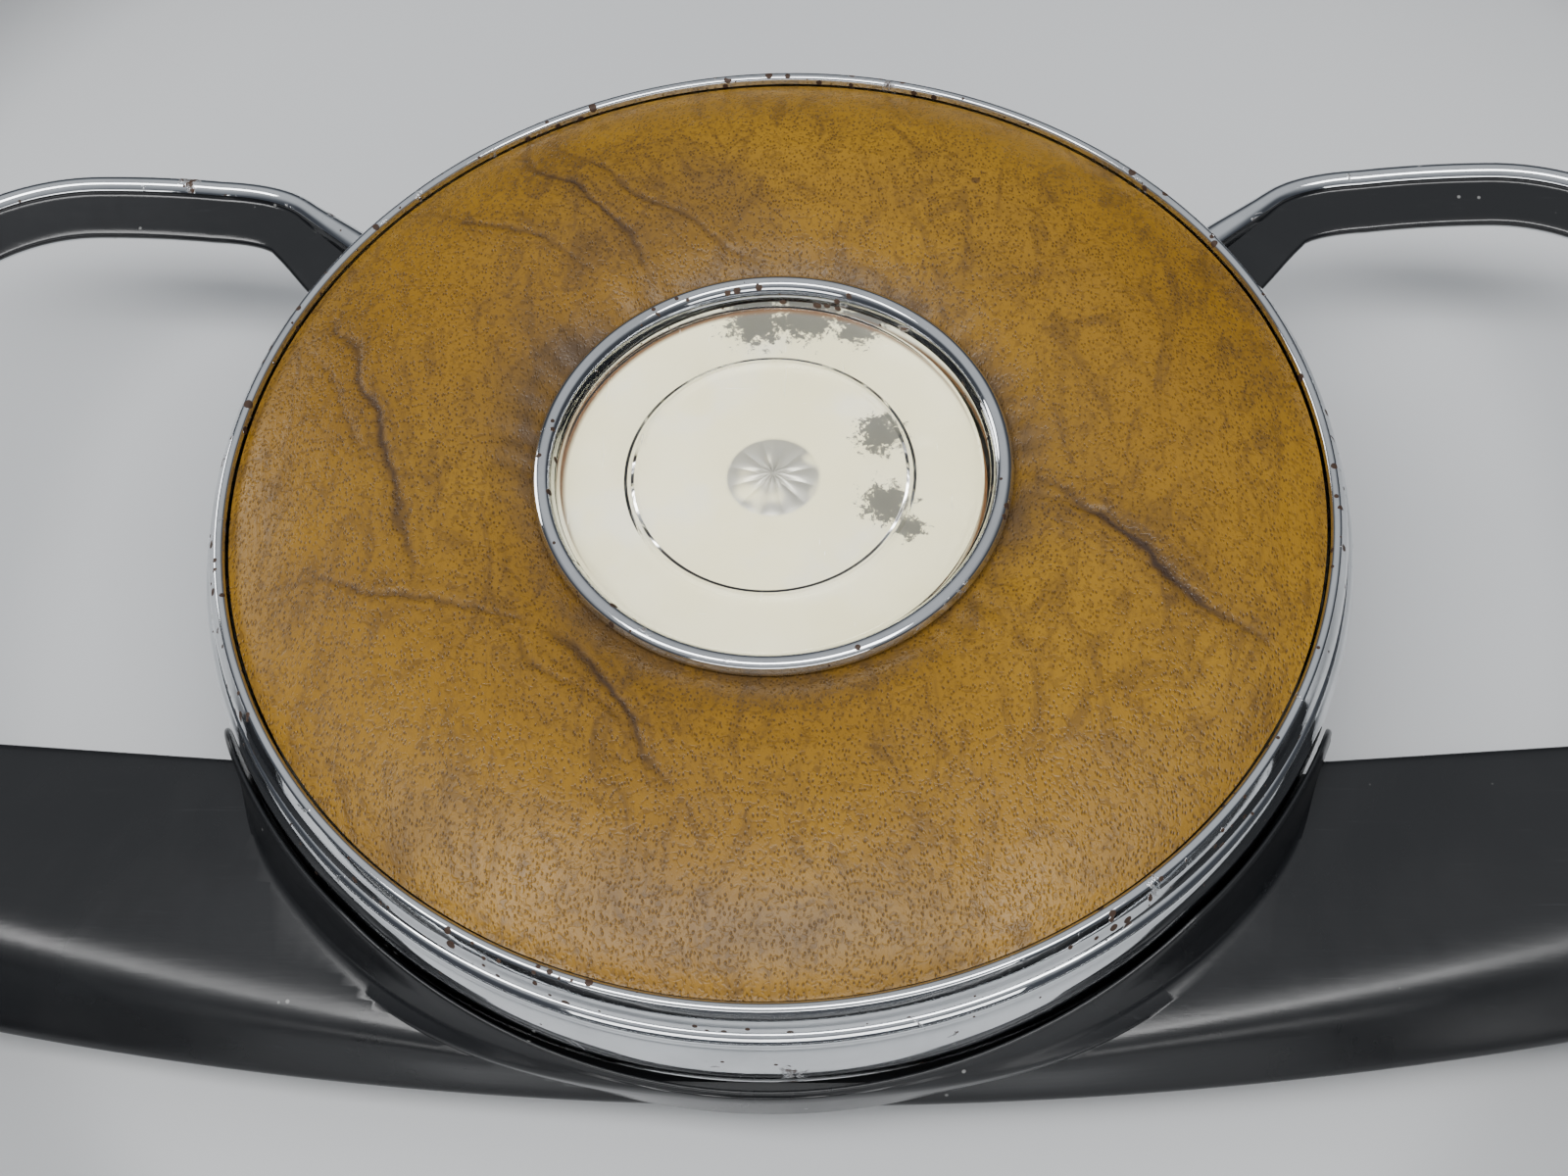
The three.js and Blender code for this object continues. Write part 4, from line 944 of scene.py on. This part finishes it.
def rear_carrier():
    """The carrier with a groove for the slip ring, a rim groove, and a seat and hole for each rear screw."""
    low, high = bottom("rear_contact_carrier"), top("rear_contact_carrier")
    inner, outer = 20.8, 38.1
    groove_in, groove_out, groove_top = SLIP_IN - 0.3, SLIP_OUT + 0.3, top("slip_ring") + 0.3
    carrier = turned("rear_carrier", [
        (inner, low), (groove_in, low), (groove_in, groove_top), (groove_out, groove_top), (groove_out, low),
        (groove_out + 0.8, low), (groove_out + 1, low + 0.5), (outer - 1.2, low + 0.5), (outer - 1, low),
        (outer, low), (outer, high), (inner, high),
    ], BAKELITE, 200, 0.18)
    for name in REAR_SCREWS:
        at = middle(name)
        merge(carrier, peg(3.1, low - 0.2, low + 1.2, at, BAKELITE))
        merge(carrier, peg(1.7, low - 1, high + 1, at, BAKELITE), "DIFFERENCE")
    return carrier


def rear_screw(name, number):
    at = middle(name)
    head_r, shank_r = 2.38, 1.4
    low, high = bottom(name), top(name)
    seat = bottom("rear_contact_carrier") - 0.3
    screw = turned(name + "_turned", [
        (0, low), (1.5, low), (head_r, low + 0.45), (head_r, seat), (shank_r, seat), (shank_r, high),
        (0, high),
    ], ZINC, 48, 0.12, at)
    cut_slot(screw, at, 4, 0.3, low - 1, low + 0.6, 0.7 + 1.9 * number)
    return screw


def cancelling_cam():
    """A ring with two small lobes, which puts the indicator back."""
    name = "cancelling_cam"
    low, high = bottom(name), top(name)
    inner, outer, back = 18.3, 20.5, 3
    lobe_r, lobe_top = 1, 4
    cam = ring("cancelling_cam_ring", inner, outer, back, high, BAKELITE, 160, 0.25)
    for side in (-1, 1):
        profile = [(0, low), (lobe_r, low), (lobe_r, lobe_top), (0, lobe_top)]
        merge(cam, turned("lobe", profile, BAKELITE, 32, 0.25, (side * (inner + outer) / 2, 0)))
    return cam


def rear_contacts():
    carrier = rear_carrier()
    for number, name in enumerate(REAR_SCREWS, 1):
        place(rear_screw(name, number), "wheel", SLOT_OF[name], name)
    place(carrier, "wheel", SLOT_OF["rear_contact_carrier"], "rear_contact_carrier")
    slip = ring("slip_ring_turned", SLIP_IN, SLIP_OUT, bottom("slip_ring"), top("slip_ring"), BRASS, 200, 0.2)
    place(slip, "wheel", SLOT_OF["slip_ring"], "slip_ring")
    place(cancelling_cam(), "wheel", SLOT_OF["cancelling_cam"], "cancelling_cam")


# ---------- Springs and shoulder screws ----------
WIRE_R = 0.7
COIL_R = 4.6  # to the middle of the wire


def wire_coil(name, at, turns, height_at):
    """Round wire wound about an upright line at `at`. `height_at` takes a share of its length."""
    steps_each, facets = 40, 12
    steps = int(steps_each * turns)
    sections = []
    for i in range(steps + 1):
        a = 2 * math.pi * turns * i / steps
        z = height_at(i / steps)
        section = []
        for p in np.linspace(0, 2 * math.pi, facets, endpoint=False):
            reach, rise = COIL_R + WIRE_R * math.cos(p), WIRE_R * math.sin(p)
            section.append((reach * math.cos(a) + at[0], reach * math.sin(a) + at[1], z + rise))
        sections.append(section[::-1])
    return skin(name, sections, [SPRING])


def coil_spring(name):
    """A wire coil under the horn ring; it keeps its length when the horn is pressed. Its flat top coil goes
    with the bush it bears on.
    """
    at, low, high = middle(name), bottom(name), top(name)
    flat_share, room = 0.13, 1.0
    end = high - 3 * WIRE_R - room

    def climb(t):
        return low + WIRE_R + (end - low - WIRE_R) * max(0, (t - flat_share) / (1 - flat_share))

    spring = place(wire_coil(name + "_coil", at, 3.2, climb), "wheel", SLOT_OF[name], name)
    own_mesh(spring)
    place(wire_coil(name + "_top_coil", at, 0.97, lambda t: high - WIRE_R), "horn", SLOT_OF[name])


def shoulder_screw(name, number):
    at = middle(name)
    shank_r, head_r, head_height = 2.5, 5.4, 1.7
    low, high = bottom(name), top(name)
    head = high - head_height
    screw = turned(name + "_turned", [
        (0, low), (shank_r, low), (shank_r, head), (head_r, head), (head_r, high - 0.5), (head_r - 0.5, high),
        (0, high),
    ], ZINC, 64, 0.15, at)
    cut_slot(screw, at, 8, 0.6, high - 0.9, high + 1, 0.4 + 1.3 * number)
    return screw


def shoulder_hardware():
    """At each shoulder screw: the spring, the screw, a flanged bush, and a washer under the screw's head."""
    hole_r, flange_r, sleeve_r, flange = 2.8, 6.2, 4, 1.5
    for i in (1, 2, 3):
        coil_spring(f"horn_spring_{i}")
        name = f"shoulder_screw_{i}"
        at = middle(name)
        place(shoulder_screw(name, i), "wheel", SLOT_OF[name], name)
        name = f"horn_bush_{i}"
        low, high = bottom(name), top(name)
        bush = turned(name + "_turned", [
            (hole_r, low), (flange_r, low), (flange_r, low + flange), (sleeve_r, low + flange),
            (sleeve_r, high), (hole_r, high),
        ], FIBRE, 64, 0.15, at)
        place(bush, "horn", SLOT_OF[name], name)
        name = f"horn_washer_{i}"
        washer = ring(name + "_turned", hole_r, flange_r, bottom(name), top(name), FIBRE, 64, 0.1, at)
        place(washer, "horn_stops", SLOT_OF[name], name)


steel_boss()
rear_contacts()
shoulder_hardware()

# The other pieces keep their CAD shape and take the looks of their slots.
SLOT_LOOKS = {
    "black_moulding": MOULDING, "core_steel": STEEL, "chrome": CHROME, "plated_steel": ZINC,
    "spring_steel": SPRING, "contact_brass": BRASS, "pad_foam": FOAM, "lead_insulation": INSULATION,
}
for name, piece in frame["nodes"].items():
    if not piece.hide_render:
        piece.data.materials.clear()
        piece.data.materials.append(SLOT_LOOKS[SLOT_OF[name]])

# ---------- Floor, light and camera ----------


def pale_floor():
    bpy.ops.mesh.primitive_plane_add(size=6, location=(0, 0, 0))
    floor = bpy.context.object
    floor.name = "floor"
    floor.data.materials.append(new_look("pale_floor", (0.62, 0.63, 0.64), 0.6)[0])


def soft_light(name, eye, target, size, power, width=None):
    """A disc of `size`, or a strip when it has a `width` as well."""
    data = bpy.data.lights.new(name, "AREA")
    data.shape = "RECTANGLE" if width else "DISK"
    data.size = width or size
    if width:
        data.size_y = size
    data.energy = power
    light = bpy.data.objects.new(name, data)
    bpy.context.collection.objects.link(light)
    light.location = eye
    light.rotation_euler = (Vector(target) - Vector(eye)).to_track_quat("-Z", "Y").to_euler()


def studio_world():
    """A soft room: bright ceiling, grey walls and a darker ground."""
    world = bpy.data.worlds.new("studio")
    bpy.context.scene.world = world
    world.use_nodes = True
    tree = world.node_tree
    direction = node(tree, "ShaderNodeTexCoord").outputs["Generated"]
    up = node(tree, "ShaderNodeSeparateXYZ", {0: direction}).outputs[2]
    high = blend_color(tree, span(tree, up, 0.3, 0.8), (0.1, 0.11, 0.13), (0.85, 0.88, 0.92))
    full = blend_color(tree, span(tree, up, -0.1, 0.1), (0.3, 0.3, 0.31), high)
    back = tree.nodes["Background"]
    tree.links.new(full, back.inputs["Color"])
    back.inputs["Strength"].default_value = 0.75


def photo_camera():
    """Above the wheel's lower edge, looking down at the pad, slightly turned and rolled."""
    distance = 0.287
    elevation, turn_left, roll = math.radians(55.2), math.radians(4.8), math.radians(-4.07)
    lip = LIP_Z * MM
    aim = Vector((0.0018, -0.0172, lip))
    level = distance * math.cos(elevation)
    height = lip + distance * math.sin(elevation)
    eye = Vector((level * math.sin(turn_left), -level * math.cos(turn_left), height))
    forward = (aim - eye).normalized()
    right = forward.cross(Vector((0, 0, 1))).normalized()
    up = right.cross(forward)
    rolled_right = right * math.cos(roll) + up * math.sin(roll)
    rolled_up = up * math.cos(roll) - right * math.sin(roll)
    data = bpy.data.cameras.new("camera")
    data.lens = 49.5
    data.sensor_width = 36
    data.clip_start = 0.01
    camera = bpy.data.objects.new("camera", data)
    bpy.context.collection.objects.link(camera)
    pointed = Matrix((rolled_right, rolled_up, -forward)).transposed().to_4x4()
    camera.matrix_world = Matrix.Translation(eye) @ pointed
    bpy.context.scene.camera = camera


pale_floor()
soft_light("ceiling", (-0.05, -0.38, 1.15), (0, 0, 0.04), 0.3, 17, 1.7)
soft_light("window", (0.05, -1.15, 0.42), (0, 0, 0.03), 0.22, 4, 1.5)
soft_light("fill", (-1.2, 0.6, 0.35), (0, 0, 0.04), 0.5, 4)
studio_world()
photo_camera()
